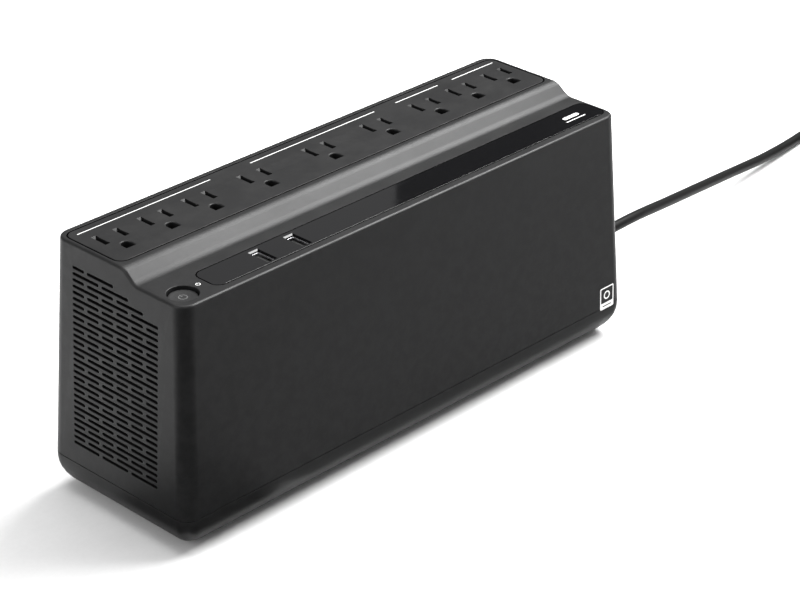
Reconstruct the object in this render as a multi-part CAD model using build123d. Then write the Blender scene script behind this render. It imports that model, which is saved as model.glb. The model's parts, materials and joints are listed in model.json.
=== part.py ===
from build123d import *
import math
import os

# Desktop uninterruptible power supply. Millimetres.
# X runs along the body: the ventilated end is at -X and the cord leaves at +X.
# -Y is the long plain front, +Z is up, and the standing surface is z = 0.

# --- body -------------------------------------------------------------------
BODY_LENGTH = 324.7
BODY_WIDTH = 102.3
END_DRAFT = 0.063
SIDE_DRAFT = 0.036
CORNER = 8.0
WALL = 2.5
FOOT_PROUD = 0.8
SEAM_Z = FOOT_PROUD + 20.2
LOW_TOP = SEAM_Z + 112.9
HIGH_TOP = SEAM_Z + 119.2
STEP_CREST_Y = -4.6
STEP_ANGLE = 38.0
STEP_BLEND = 7.6
BASE_ROUND = 17.3
BASE_FLOOR = 4.5
LIP_HEIGHT = 3.0

# --- ventilation slots in the -X end -----------------------------------------
VENT_ROWS = 30
VENT_PITCH = 3.283
VENT_FIRST_Z = SEAM_Z + 12.1
VENT_FIELD = (-31.5, 34.4)
VENT_GAP = 2.4
VENT_HEIGHT = 1.5
VENT_TOP_STEP = 11.4

# --- outlets -----------------------------------------------------------------
OUTLET_X = (-136.9, -108.3, -79.7, -42.4, 2.7, 44.6, 81.5, 110.0, 138.4)
BATTERY_OUTLETS = 6
SLOT_Y = 25.3
SLOT_OFFSET = 6.35
NEUTRAL_SLOT = (2.5, 8.5)
LINE_SLOT = (2.5, 7.1)
GROUND_Y = 13.3
GROUND_SIZE = (5.6, 6.2)
PANEL_HALF_LENGTH = 151.9
PANEL_Y = (0.6, 42.4)
PANEL_CORNER = 5.0
PANEL_THICK = 4.2
SEAM_GAP = 0.4
TRAY_BOTTOM = SEAM_Z + 95.0
CONTACT_Z = (TRAY_BOTTOM + 4.0, TRAY_BOTTOM + 15.0)
STRIP_Z = (TRAY_BOTTOM + 2.0, TRAY_BOTTOM + 10.0)
LEAF = 0.5

# --- inlay strip, USB sockets and power button --------------------------------
INLAY_X = (-128.3, 152.8)
INLAY_Y = (-41.4, -23.5)
INLAY_THICK = 1.2
INLAY_CORNER = 5.0
FIT_GAP = 0.25
USB_X = (-91.8, -68.6)
USB_Y = -33.3
USB_SHELL = (6.1, 13.1)
USB_DEEP = 14.2
BUTTON_X = -144.1
BUTTON_Y = -34.5
BUTTON_R = 7.4
WELL_R = 7.8
BUTTON_SUNK = 0.8
BUTTON_TRAVEL = 1.2
STEM_END = 14.5
SWITCH_TOP = LOW_TOP - BUTTON_SUNK - STEM_END - BUTTON_TRAVEL - 0.3

# --- battery and its bay ------------------------------------------------------
BATTERY_X = (-30.0, 121.0)
BATTERY_HALF_Y = 32.5
BATTERY_HEIGHT = 94.0
BAY_GAP = 1.0
BAY_WALL = 2.0
BAY_TOP = 40.0
COVER_REBATE = 2.4
COVER_GAP = 0.3

# --- right end: breaker, data port, cord --------------------------------------
BREAKER_Y = 36.0
BREAKER_Z = 62.0
PORT_Y = 36.0
PORT_Z = 90.0
CORD_D = 6.2
CORD_Y = -3.5
CORD_Z = 30.0
RELIEF_END_X = 188.0

# --- cord: straight out, down onto the standing surface, then the coil --------
COIL_CENTRE = (490.0, -3.0)
COIL_MEAN_R = 36.0
COIL_LIFT = 1.0
COIL_LAYERS = 3
COIL_OUTER_TURN_R = COIL_MEAN_R + CORD_D / 2
COIL_START = (COIL_CENTRE[0], COIL_CENTRE[1] + COIL_OUTER_TURN_R)
CORD_ROUTE = [
    (RELIEF_END_X, CORD_Y, CORD_Z),
    (222, CORD_Y, CORD_Z),
    (262, 2.5, 23.5),
    (306, 10.2, 16.5),
    (352, 18, 9.5),
    (398, 23.8, 4.6),
    (446, 30.4, 3.3),
    (470, 34.9, 3.7),
    (COIL_START[0], COIL_START[1], CORD_D / 2 + COIL_LIFT),
]
TOP_LAYER_Z = COIL_LIFT + CORD_D * (COIL_LAYERS - 0.5)
PLUG_X = 552.0
PLUG_Z = 12.2
TAIL_ROUTE = [
    (COIL_START[0], COIL_START[1], TOP_LAYER_Z),
    (520, 36.6, 13.6),
    (PLUG_X, 36.1, PLUG_Z),
]
PLUG_Y = TAIL_ROUTE[-1][1]

# --- screws, posts and pads -----------------------------------------------------
POST_R = 4.5
POST_Z = (13.0, 40.0)
RIB_Z = (26.0, 38.0)
PILOT_R = 1.5
TOWER_R = 6.0
TOWER_CLEAR_R = 1.8
HEAD_BORE_R = 4.0
HEAD_SEAT_Z = 10.0
HEAD_R = 3.5
HEAD_HIGH = 2.4
SOCKET_DEEP = 1.2
SMALL_HEAD_R = 2.9
SMALL_HEAD_HIGH = 1.8
BRACKET_SCREW_X = 37.5
BRACKET_SEAT_Z = 10.5
STRAP_THICK = 1.2
FOOT_R = 6.0
FOOT_SUNK = 1.2

# --- breaker and data socket ------------------------------------------------------
BREAKER_NECK_R = 4.5
BREAKER_BORE_R = 2.9
BREAKER_KEY_R = 2.82
NUT_ACROSS_R = 7.0
NUT_THICK = 1.2
DATA_NOSE_HALF = (7.8, 6.6)
DATA_BODY_HALF = (9.0, 7.6)

# --- plug -----------------------------------------------------------------------
GRIP_X = (PLUG_X + 18, PLUG_X + 46)
GRIP_HALF_Y = 13.0
BLADE_OVER_CENTRE = 5.0
BLADE_HALF = (0.76, 3.17)
BLADE_LONG = 16.0
PIN_R = 2.4
PIN_LONG = 20.0
PIN_BELOW_BLADES = 11.9

# --- places of the inner parts ------------------------------------------------
BOARD_X = (-143.0, -34.0)
BOARD_Y = 34.0
BOARD_THICK = 1.6
BOARD_Z = (26.0, 108.0)
TRANSFORMER = (-85.0, -5.0, 39.5)
CORE_SIZE = (66.0, 33.0, 55.0)
BOARD_SCREWS = [(-139.5, 30.0), (-139.5, 104.5), (-38.0, 46.0), (-38.0, 104.5)]
TOWERS = [(-150, -36), (-150, 36), (150, -36), (150, 36), (-40, -41), (-40, 41)]
FEET = [(-135, -25), (-135, 25), (135, -25), (135, 25)]
KEYHOLES = (-135.0, 135.0)
SINK_X = (-130.0, -104.0)
TRANSISTOR_X = (-136.0, -124.0, -110.0, -98.0)
RELAY_AT = ((-80, 97), (-58, 97), (-58, 78))
BULK_X = (-135.5, -122.0)
VARISTOR_X = (-108.0, -92.0, -76.0)
BUZZER_AT = (-41.5, 92.0)
FUSE_X = (-66.0, -46.0)
FUSE_R = 2.6
FUSE_Z = 38.0
KEYHOLE_HEAD_R = 4.5
KEYHOLE_SLOT_R = 2.3
KEYHOLE_RUN = 8.0


def block(x, y, z):
    """A box between the given low and high values on each axis."""
    size = [high - low for low, high in (x, y, z)]
    centre = [(low + high) / 2 for low, high in (x, y, z)]
    return Pos(*centre) * Box(*size)


def rod(radius, low, high, at, axis="Z"):
    """A cylinder from low to high along an axis; at is its place across that axis."""
    cylinder = Cylinder(radius, high - low)
    middle = (low + high) / 2
    if axis == "X":
        return Pos(middle, *at) * Rot(0, 90, 0) * cylinder
    if axis == "Y":
        return Pos(at[0], middle, at[1]) * Rot(90, 0, 0) * cylinder
    return Pos(*at, middle) * cylinder


def plate(x, y, z, corner):
    """A flat plate with rounded vertical corners."""
    outline = RectangleRounded(x[1] - x[0], y[1] - y[0], corner)
    place = Pos((x[0] + x[1]) / 2, (y[0] + y[1]) / 2, z[0])
    return place * extrude(outline, z[1] - z[0])


def joined(pieces):
    """One shape from touching or overlapping pieces."""
    first, *rest = pieces
    for piece in rest:
        first = first + piece
    return first


def end_x(z):
    return BODY_LENGTH / 2 - END_DRAFT * (z - SEAM_Z)


def side_y(z):
    return BODY_WIDTH / 2 - SIDE_DRAFT * (z - SEAM_Z)


def housing_form(inset, bottom):
    """The drafted, stepped outer form of the housing, or its inside at an inset."""
    low, high = LOW_TOP - inset, HIGH_TOP - inset
    half = math.radians(STEP_ANGLE) / 2
    shift = inset * math.tan(half)
    crest_y = STEP_CREST_Y + shift
    foot_y = crest_y - (HIGH_TOP - LOW_TOP) / math.tan(2 * half)
    corners = [
        (inset - side_y(bottom), bottom),
        (inset - side_y(low), low),
        (foot_y, low),
        (crest_y, high),
        (side_y(high) - inset, high),
        (side_y(bottom) - inset, bottom),
    ]
    side = make_face(Polyline(*corners, close=True))
    for corner, radius in ((2, STEP_BLEND + inset), (3, STEP_BLEND - inset)):
        near = Vector(*corners[corner])
        side = fillet(side.vertices().sort_by_distance(near)[0], radius)
    end = Polyline(
        (inset - end_x(bottom), bottom),
        (inset - end_x(high), high),
        (end_x(high) - inset, high),
        (end_x(bottom) - inset, bottom),
        close=True,
    )
    form = extrude(Plane.YZ * side, BODY_LENGTH, both=True)
    form = form & extrude(Plane.XZ * make_face(end), BODY_WIDTH, both=True)
    tall = [e for e in form.edges() if e.bounding_box().size.Z > BODY_WIDTH]
    return fillet(tall, CORNER - inset)


def vent_slots():
    """Staggered slots through the -X end; the rows shorten under the step."""
    low, high = VENT_FIELD
    long = (high - low - 2 * VENT_GAP) / 3
    short = (high - low - 2 * long - 3 * VENT_GAP) / 2
    slots = []
    for row in range(VENT_ROWS):
        z = VENT_FIRST_Z + row * VENT_PITCH
        from_top = VENT_ROWS - 1 - row
        lengths = [long, long, long] if from_top % 2 else [short, long, long, short]
        limit = high - long - short - VENT_GAP - 2 - VENT_TOP_STEP * from_top
        edge = high
        for length in lengths:
            if edge - length > limit:
                slots.append(Pos(edge - length / 2, z) * SlotOverall(length, VENT_HEIGHT))
            edge = edge - length - VENT_GAP
    outline = Plane.YZ * (Sketch() + slots)
    return Pos(-BODY_LENGTH / 2, 0, 0) * extrude(outline, 4 * WALL, both=True)


def button_guide():
    """The tube below the power button, with a web that the spring stands on."""
    at = (BUTTON_X, BUTTON_Y)
    tube = rod(WELL_R + 2.2, LOW_TOP - 15, LOW_TOP - WALL + 0.5, at)
    bore = rod(WELL_R, LOW_TOP - 13, LOW_TOP, at)
    stem_hole = rod(3.2, LOW_TOP - 16, LOW_TOP, at)
    return tube - bore - stem_hole


def screw_boss(at):
    """A hollow post in the housing that takes a screw from below."""
    x, y = at
    post = rod(POST_R, *POST_Z, at)
    if abs(x) > 100:
        reach = sorted((x, math.copysign(end_x(BAY_TOP) - 1, x)))
        rib = block(reach, (y - 1, y + 1), RIB_Z)
    else:
        reach = sorted((y, math.copysign(side_y(BAY_TOP) - 1, y)))
        rib = block((x - 1, x + 1), reach, RIB_Z)
    return post + rib - rod(PILOT_R, POST_Z[0] - 1, POST_Z[1] - 10, at)


def housing_shell():
    """The upper casing: one sleeve with its top."""
    shell = housing_form(0, SEAM_Z) - housing_form(WALL, SEAM_Z)
    panel_x = (-PANEL_HALF_LENGTH - SEAM_GAP, PANEL_HALF_LENGTH + SEAM_GAP)
    panel_y = (PANEL_Y[0] - SEAM_GAP, PANEL_Y[1] + SEAM_GAP)
    shell -= plate(panel_x, panel_y, (HIGH_TOP - WALL - 1, HIGH_TOP + 1), PANEL_CORNER)
    inlay_x = (INLAY_X[0] - FIT_GAP, INLAY_X[1] + FIT_GAP)
    inlay_y = (INLAY_Y[0] - FIT_GAP, INLAY_Y[1] + FIT_GAP)
    shell -= plate(inlay_x, inlay_y, (LOW_TOP - INLAY_THICK, LOW_TOP + 1), INLAY_CORNER)
    for x in USB_X:
        half_x, half_y = (side / 2 + FIT_GAP for side in USB_SHELL)
        across = (USB_Y - half_y, USB_Y + half_y)
        shell -= block((x - half_x, x + half_x), across, (LOW_TOP - 5, LOW_TOP + 1))
    shell -= rod(WELL_R, LOW_TOP - 5, LOW_TOP + 1, (BUTTON_X, BUTTON_Y))
    shell += button_guide() & housing_form(1, SEAM_Z)
    shell -= vent_slots()
    for at in TOWERS:
        shell += screw_boss(at)
    right = BODY_LENGTH / 2
    shell -= rod(6.2, right - 8, right + 8, (CORD_Y, CORD_Z), "X")
    shell -= rod(4.7, right - 8, right + 8, (BREAKER_Y, BREAKER_Z), "X")
    port_y, port_z = (PORT_Y - 8.0, PORT_Y + 8.0), (PORT_Z - 6.8, PORT_Z + 6.8)
    shell -= block((right - 10, right + 8), port_y, port_z)
    return shell


def base_form(inset, bottom):
    """The base's form: its bottom edges turn in by a quarter circle on all four sides."""
    height = SEAM_Z - FOOT_PROUD
    half_x, half_y = BODY_LENGTH / 2 - inset, BODY_WIDTH / 2 - inset
    form = plate((-half_x, half_x), (-half_y, half_y), (bottom, SEAM_Z), CORNER - inset / 2)
    for plane, half in ((Plane.XZ, half_x), (Plane.YZ, half_y)):
        profile = Pos(0, FOOT_PROUD + height / 2) * Rectangle(2 * half, height)
        profile = fillet(profile.vertices().group_by(Axis.Y)[0], BASE_ROUND)
        form = form & extrude(plane * profile, BODY_LENGTH, both=True)
    return form


def keyhole(x):
    """A wall-mount keyhole through the floor of the base, its slot towards -Y."""
    through = (FOOT_PROUD - 1, FOOT_PROUD + BASE_FLOOR + 1)
    head = rod(KEYHOLE_HEAD_R, *through, (x, 0))
    end = rod(KEYHOLE_SLOT_R, *through, (x, -KEYHOLE_RUN))
    neck = block((x - KEYHOLE_SLOT_R, x + KEYHOLE_SLOT_R), (-KEYHOLE_RUN, 0), through)
    return head + end + neck


def base_tray():
    """The lower casing, with the battery bay, screw towers and wall keyholes."""
    floor_top = FOOT_PROUD + BASE_FLOOR
    form = base_form(0, FOOT_PROUD)
    tray = form - base_form(3.0, floor_top)
    half_x, half_y = BODY_LENGTH / 2 - WALL - 0.3, BODY_WIDTH / 2 - WALL - 0.3
    lip_z = (SEAM_Z - 5, SEAM_Z + LIP_HEIGHT)
    draft = 0.3
    lip = plate((draft - half_x, half_x - draft), (-half_y, half_y), lip_z, CORNER - WALL)
    inner = (1.5 - half_x, half_x - 1.5), (1.5 - half_y, half_y - 1.5)
    lip -= plate(*inner, (0, SEAM_Z + LIP_HEIGHT + 1), CORNER - WALL - 1.2)
    lip -= block((half_x - 5, half_x + 5), (CORD_Y - 9, CORD_Y + 9), (SEAM_Z, SEAM_Z + 9))
    for x, y in TOWERS:
        lip -= rod(5.2, SEAM_Z, SEAM_Z + 9, (x, y))
        reach = 14 if abs(x) > 100 else 1.5
        lip -= block((x - reach, x + reach), (y - 1.5, y + 1.5), (SEAM_Z, SEAM_Z + 9))
        if abs(x) < 100:
            lip -= block((x - 1.5, x + 1.5), (y - 9, y + 9), (SEAM_Z, SEAM_Z + 9))
    tray += lip
    bay_x = (BATTERY_X[0] - BAY_GAP, BATTERY_X[1] + BAY_GAP)
    bay_half = BATTERY_HALF_Y + BAY_GAP
    outer_x = (bay_x[0] - BAY_WALL, bay_x[1] + BAY_WALL)
    outer_y = (-bay_half - BAY_WALL, bay_half + BAY_WALL)
    tray += block(outer_x, outer_y, (floor_top - 1, BAY_TOP))
    for at in TOWERS:
        tray += rod(TOWER_R, floor_top - 1.5, POST_Z[0], at) & form
    for side in (-1, 1):
        at = (TRANSFORMER[0] + side * BRACKET_SCREW_X, TRANSFORMER[1])
        tray += rod(POST_R, floor_top - 0.5, BRACKET_SEAT_Z, at)
        tray -= rod(PILOT_R, floor_top - 1, BRACKET_SEAT_Z + 0.5, at)
    tray -= block(bay_x, (-bay_half, bay_half), (-1, BAY_TOP + 1))
    rebate_x = (outer_x[0] - 1, outer_x[1] + 1)
    rebate_half = bay_half + 1.4
    tray -= block(rebate_x, (-rebate_half, rebate_half), (-1, FOOT_PROUD + COVER_REBATE))
    for at in TOWERS:
        tray -= rod(HEAD_BORE_R, -1, HEAD_SEAT_Z, at)
        tray -= rod(TOWER_CLEAR_R, HEAD_SEAT_Z - 1, POST_Z[0] + 1, at)
    for at in FEET:
        tray -= rod(FOOT_R + 0.2, -1, FOOT_PROUD + FOOT_SUNK, at)
    for x in KEYHOLES:
        tray -= keyhole(x)
    return tray


def battery_cover():
    """The cover under the battery: a plate, a pad and a ridged thumb grip."""
    bay_x = (BATTERY_X[0] - BAY_GAP, BATTERY_X[1] + BAY_GAP)
    bay_half = BATTERY_HALF_Y + BAY_GAP
    edge = BAY_WALL + 1 - COVER_GAP
    low = FOOT_PROUD + 0.1
    plate_top = FOOT_PROUD + COVER_REBATE - COVER_GAP
    half = bay_half + 1.4 - COVER_GAP
    cover = plate((bay_x[0] - edge, bay_x[1] + edge), (-half, half), (low, plate_top), 2)
    pad_x = (bay_x[0] + COVER_GAP, bay_x[1] - COVER_GAP)
    pad_half = bay_half - COVER_GAP
    pad_top = FOOT_PROUD + BASE_FLOOR - COVER_GAP
    cover += block(pad_x, (-pad_half, pad_half), (plate_top - 0.1, pad_top))
    for step in range(5):
        x = bay_x[1] - 22 + 3.5 * step
        cover -= block((x, x + 1.8), (-12, 12), (low - 1, low + 0.8))
    return cover


def rubber_feet():
    return Compound([rod(FOOT_R, 0, FOOT_PROUD + FOOT_SUNK, at) for at in FEET])


def housing_screws():
    """Screws from below, through the base's towers, into the housing's posts."""
    screws = []
    for at in TOWERS:
        low = HEAD_SEAT_Z - HEAD_HIGH
        head = rod(HEAD_R, low, HEAD_SEAT_Z, at) - rod(PILOT_R, low - 1, low + SOCKET_DEEP, at)
        screws.append(head + rod(PILOT_R, HEAD_SEAT_Z, HEAD_SEAT_Z + 16, at))
    return Compound(screws)


def ground_hole(x, width, depth, z):
    """A D-shaped hole: flat towards the front, half round towards the blades."""
    radius = width / 2
    front = GROUND_Y - depth / 2
    back = GROUND_Y + depth / 2 - radius
    return rod(radius, *z, (x, back)) + block((x - radius, x + radius), (front, back), z)


def outlet_panel():
    """The panel with nine three-hole outlets, held under the edge of its opening."""
    top, bottom = HIGH_TOP, HIGH_TOP - PANEL_THICK
    under = HIGH_TOP - WALL
    panel_x = (-PANEL_HALF_LENGTH, PANEL_HALF_LENGTH)
    panel = plate(panel_x, PANEL_Y, (bottom, top), PANEL_CORNER)
    flange_x = (panel_x[0] - 0.25, panel_x[1] + 0.25)
    flange_y = (PANEL_Y[0] - 1.8, PANEL_Y[1] + 1.6)
    panel += plate(flange_x, flange_y, (bottom, under), PANEL_CORNER + 1)
    through = (bottom - 1, top + 1)
    for x in OUTLET_X:
        for side, (width, length) in ((-1, NEUTRAL_SLOT), (1, LINE_SLOT)):
            centre = x + side * SLOT_OFFSET
            across = (centre - width / 2, centre + width / 2)
            panel -= block(across, (SLOT_Y - length / 2, SLOT_Y + length / 2), through)
        panel -= ground_hole(x, *GROUND_SIZE, through)
    return panel


# Each contact strip stands on edge along X, and its leaf pairs grip a blade or a pin.
LINE_STRIP_Y = (19.8, 20.6)
NEUTRAL_STRIP_Y = (30.2, 31.0)
GROUND_STRIP_Y = (7.0, 7.8)


def receptacle_body(x):
    """An insulating block with three wells, cut from below for the strips."""
    top = HIGH_TOP - PANEL_THICK
    body = block((x - 13, x + 13), (5, 34), (TRAY_BOTTOM, top))
    well_z = (CONTACT_Z[0] - 1, top + 1)
    for side, y in ((-1, (21.8, 30.4)), (1, (20.4, 29.0))):
        centre = x + side * SLOT_OFFSET
        body -= block((centre - 1.6, centre + 1.6), y, well_z)
    body -= block((x - 3.4, x + 3.4), (7.6, 17.6), well_z)
    for low, high in (LINE_STRIP_Y, NEUTRAL_STRIP_Y, GROUND_STRIP_Y):
        groove_z = (TRAY_BOTTOM - 1, STRIP_Z[1] + 0.2)
        body -= block((x - 14, x + 14), (low - 0.2, high + 0.2), groove_z)
    return body


def contact_strip(centres, strip_y, leaf_y, spread):
    """A strip along X with a pair of gripping leaves at each centre."""
    reach = (min(centres) - 8, max(centres) + 8)
    pieces = [block(reach, strip_y, STRIP_Z)]
    for centre in centres:
        for side in (-1, 1):
            near, far = sorted((centre + side * spread, centre + side * (spread + LEAF)))
            pieces.append(block((near, far), leaf_y, CONTACT_Z))
    return joined(pieces)


def usb_shell(x):
    """The socket's folded metal shell, open at the top."""
    half_x, half_y = (side / 2 for side in USB_SHELL)
    z = (LOW_TOP - 0.2 - USB_DEEP, LOW_TOP - 0.2)
    shell = block((x - half_x, x + half_x), (USB_Y - half_y, USB_Y + half_y), z)
    inner_x, inner_y = half_x - 0.35, half_y - 0.35
    return shell - block((x - inner_x, x + inner_x), (USB_Y - inner_y, USB_Y + inner_y), z)


def usb_tongue(x):
    """The insulator in the bottom of the shell with the contact tongue on it."""
    half_x, half_y = (side / 2 - 0.35 for side in USB_SHELL)
    low = LOW_TOP - 0.2 - USB_DEEP
    foot = block((x - half_x, x + half_x), (USB_Y - half_y, USB_Y + half_y), (low, low + 2.5))
    across = (x + 0.1, x + 1.94)
    return foot + block(across, (USB_Y - 5.6, USB_Y + 5.6), (low + 2.5, LOW_TOP - 1.2))


def inlay_strip():
    """The glossy strip, with the two USB openings."""
    strip = plate(INLAY_X, INLAY_Y, (LOW_TOP - INLAY_THICK, LOW_TOP), INLAY_CORNER)
    for x in USB_X:
        half_x, half_y = (side / 2 + 0.15 for side in USB_SHELL)
        across = (USB_Y - half_y, USB_Y + half_y)
        strip -= block((x - half_x, x + half_x), across, (LOW_TOP - 5, LOW_TOP + 1))
    return strip


def power_button():
    """A slightly dished cap with a skirt and a stem."""
    at = (BUTTON_X, BUTTON_Y)
    top = LOW_TOP - BUTTON_SUNK
    cap = rod(BUTTON_R, top - 8, top, at) - rod(BUTTON_R - 1.4, top - 9, top - 3.5, at)
    dish_r = 60.0
    cap -= Pos(*at, top + dish_r - 0.35) * Sphere(dish_r)
    return cap + rod(2.5, top - STEM_END, top - 3.4, at)


def power_button_spring():
    """The return spring, between the guide's web and the cap."""
    low, high = LOW_TOP - 12.6, LOW_TOP - BUTTON_SUNK - 4.0
    turns = 5
    path = Helix((high - low) / turns, high - low, 4.0)
    wire = Plane(path @ 0, z_dir=path % 0) * Circle(0.35)
    return Pos(BUTTON_X, BUTTON_Y, low) * sweep(wire, path, is_frenet=True)


def power_switch():
    """The push switch under the button's stem."""
    top = SWITCH_TOP
    at = (BUTTON_X, BUTTON_Y)
    body = block((at[0] - 6, at[0] + 6), (at[1] - 6, at[1] + 6), (top - 5.5, top - 1.5))
    return body + rod(1.75, top - 1.6, top, at)


def button_board():
    """The small board that carries the switch."""
    top = SWITCH_TOP - 5.5
    x, y = BUTTON_X, BUTTON_Y
    return block((x - 7, x + 21), (y - 8.5, y + 11), (top - BOARD_THICK, top))


def usb_charger_board():
    low = LOW_TOP - 0.2 - USB_DEEP - BOARD_THICK
    return block((-104, -56), (-44, -21), (low, low + BOARD_THICK))


def main_circuit_board():
    board = block(BOARD_X, (BOARD_Y, BOARD_Y + BOARD_THICK), BOARD_Z)
    for at in BOARD_SCREWS:
        board -= rod(1.5, BOARD_Y - 1, BOARD_Y + 3, at, "Y")
    return board


def board_standoffs():
    """Four posts from the board to the rear wall, cut to the wall's draft."""
    inside = housing_form(WALL, SEAM_Z)
    posts = []
    for at in BOARD_SCREWS:
        post = rod(3.5, BOARD_Y + BOARD_THICK, BODY_WIDTH / 2, at, "Y") & inside
        posts.append(post - rod(1.5, BOARD_Y, BOARD_Y + 9, at, "Y"))
    return Compound([solid for post in posts for solid in post.solids()])


def inner_screws():
    """The board's screws and the two that hold the transformer's bracket."""
    screws = []
    for at in BOARD_SCREWS:
        shank = rod(PILOT_R, BOARD_Y, BOARD_Y + 8, at, "Y")
        screws.append(rod(SMALL_HEAD_R, BOARD_Y - SMALL_HEAD_HIGH, BOARD_Y, at, "Y") + shank)
    for side in (-1, 1):
        at = (TRANSFORMER[0] + side * BRACKET_SCREW_X, TRANSFORMER[1])
        seat = BRACKET_SEAT_Z + 1.5
        head = rod(SMALL_HEAD_R, seat, seat + SMALL_HEAD_HIGH, at)
        screws.append(head + rod(PILOT_R, seat - 6, seat, at))
    return Compound(screws)


def transformer_core():
    """Laminated core with two windows."""
    x, y, z = TRANSFORMER
    length, depth, height = CORE_SIZE
    core = Pos(x, y, z) * Box(*CORE_SIZE)
    for side in (-1, 1):
        core -= Pos(x + side * length / 4, y, z) * Box(length / 6, depth + 2, height * 0.6)
    return core


def transformer_winding():
    """The winding on the core's middle leg, with its bobbin's cheeks."""
    x, y, z = TRANSFORMER
    length, depth, height = CORE_SIZE
    window = height * 0.6
    coil = Pos(x, y, z) * Box(length * 2 / 3 - 0.2, depth + 22, window - 0.4)
    coil = fillet(coil.edges().filter_by(Axis.Z), 8)
    return coil - Pos(x, y, z) * Box(length / 3, depth, window)


def transformer_bracket():
    """A strap over the core with a foot on each side."""
    x, y, z = TRANSFORMER
    half = CORE_SIZE[0] / 2
    top = z + CORE_SIZE[2] / 2
    across = (y - 8, y + 8)
    beyond = half + STRAP_THICK
    strap = [block((x - beyond, x + beyond), across, (top, top + STRAP_THICK))]
    for side in (-1, 1):
        leg = sorted((x + side * half, x + side * beyond))
        foot = sorted((x + side * half, x + side * (half + 9)))
        strap.append(block(leg, across, (BRACKET_SEAT_Z, top)))
        strap.append(block(foot, across, (BRACKET_SEAT_Z, BRACKET_SEAT_Z + 1.5)))
    bracket = joined(strap)
    for side in (-1, 1):
        hole_z = (BRACKET_SEAT_Z - 1.5, BRACKET_SEAT_Z + 2.5)
        bracket -= rod(PILOT_R, *hole_z, (x + side * BRACKET_SCREW_X, y))
    return bracket


def heat_sinks():
    """Two finned blocks that stand on the board."""
    sinks = []
    z = (72, 100)
    for x in SINK_X:
        fins = [block((x - 11, x + 11), (BOARD_Y - 3, BOARD_Y), z)]
        for step in range(6):
            left = x - 11 + step * 4.1
            fins.append(block((left, left + 1.5), (8, BOARD_Y - 3), z))
        sinks.append(joined(fins))
    return Compound(sinks)


def power_transistors():
    """Four transistors under the heat sinks."""
    z = (56, 71)
    return Compound([block((x - 5, x + 5), (29.5, BOARD_Y), z) for x in TRANSISTOR_X])


def relays():
    """Three boxed relays."""
    boxes = []
    for x, z in RELAY_AT:
        boxes.append(block((x - 9.5, x + 9.5), (18.5, BOARD_Y), (z - 7.5, z + 7.5)))
    return Compound(boxes)


def filter_capacitor():
    return block((-90, -73), (22, BOARD_Y), (70, 86))


def bulk_capacitors():
    return Compound([rod(6.5, 12, BOARD_Y, (x, 44), "Y") for x in BULK_X])


def noise_choke():
    ring = Torus(9, 3.6)
    return Pos(-50, BOARD_Y - 3.6, 57) * Rot(90, 0, 0) * ring


def main_fuse():
    return rod(FUSE_R, *FUSE_X, (BOARD_Y - FUSE_R, FUSE_Z), "X")


def surge_varistors():
    return Compound([rod(7.0, 29, BOARD_Y, (x, 38), "Y") for x in VARISTOR_X])


def alarm_buzzer():
    return rod(6.0, 24.5, BOARD_Y, BUZZER_AT, "Y") - rod(1.0, 24, 27, BUZZER_AT, "Y")


def data_port():
    """The communication socket: a nose through the end wall and a body behind it."""
    nose_x = end_x(PORT_Z) - 1.0
    half_y, half_z = DATA_NOSE_HALF
    nose = block((150, nose_x), (PORT_Y - half_y, PORT_Y + half_y), (PORT_Z - half_z, PORT_Z + half_z))
    half_y, half_z = DATA_BODY_HALF
    body = block((138, 152), (PORT_Y - half_y, PORT_Y + half_y), (PORT_Z - half_z, PORT_Z + half_z))
    cavity_z = (PORT_Z - 3.4, PORT_Z + 3.4)
    cavity = block((144, 162), (PORT_Y - 5.9, PORT_Y + 5.9), cavity_z)
    key = block((144, 162), (PORT_Y - 3.0, PORT_Y + 3.0), (PORT_Z - 5.0, PORT_Z))
    return nose + body - cavity - key


def data_port_contacts():
    """Ten spring wires along the roof of the data port's cavity."""
    wires = []
    for step in range(10):
        y = PORT_Y - 4.6 + step * 1.02
        wires.append(block((145, 155), (y - 0.15, y + 0.15), (PORT_Z + 2.9, PORT_Z + 3.4)))
    return Compound(wires)


def breaker_body():
    """The circuit breaker: a case inside and a neck through the end wall."""
    inner_x = end_x(BREAKER_Z + 7) - WALL - 0.1
    case = block((127, inner_x), (BREAKER_Y - 6, BREAKER_Y + 6), (BREAKER_Z - 7, BREAKER_Z + 7))
    neck = rod(BREAKER_NECK_R, inner_x, 160.9, (BREAKER_Y, BREAKER_Z), "X")
    bore = rod(BREAKER_BORE_R, 146, 165, (BREAKER_Y, BREAKER_Z), "X")
    return case + neck - bore


def breaker_nut():
    outline = RegularPolygon(NUT_ACROSS_R, 6, major_radius=False)
    nut = Pos(160.35, BREAKER_Y, BREAKER_Z) * (Plane.YZ * extrude(outline, NUT_THICK))
    return nut - rod(BREAKER_NECK_R, 155, 165, (BREAKER_Y, BREAKER_Z), "X")


def breaker_button():
    at = (BREAKER_Y, BREAKER_Z)
    shaft = rod(BREAKER_KEY_R, 148, 162.2, at, "X")
    return chamfer(shaft.edges().sort_by(Axis.X)[-1], 0.4)


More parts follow.
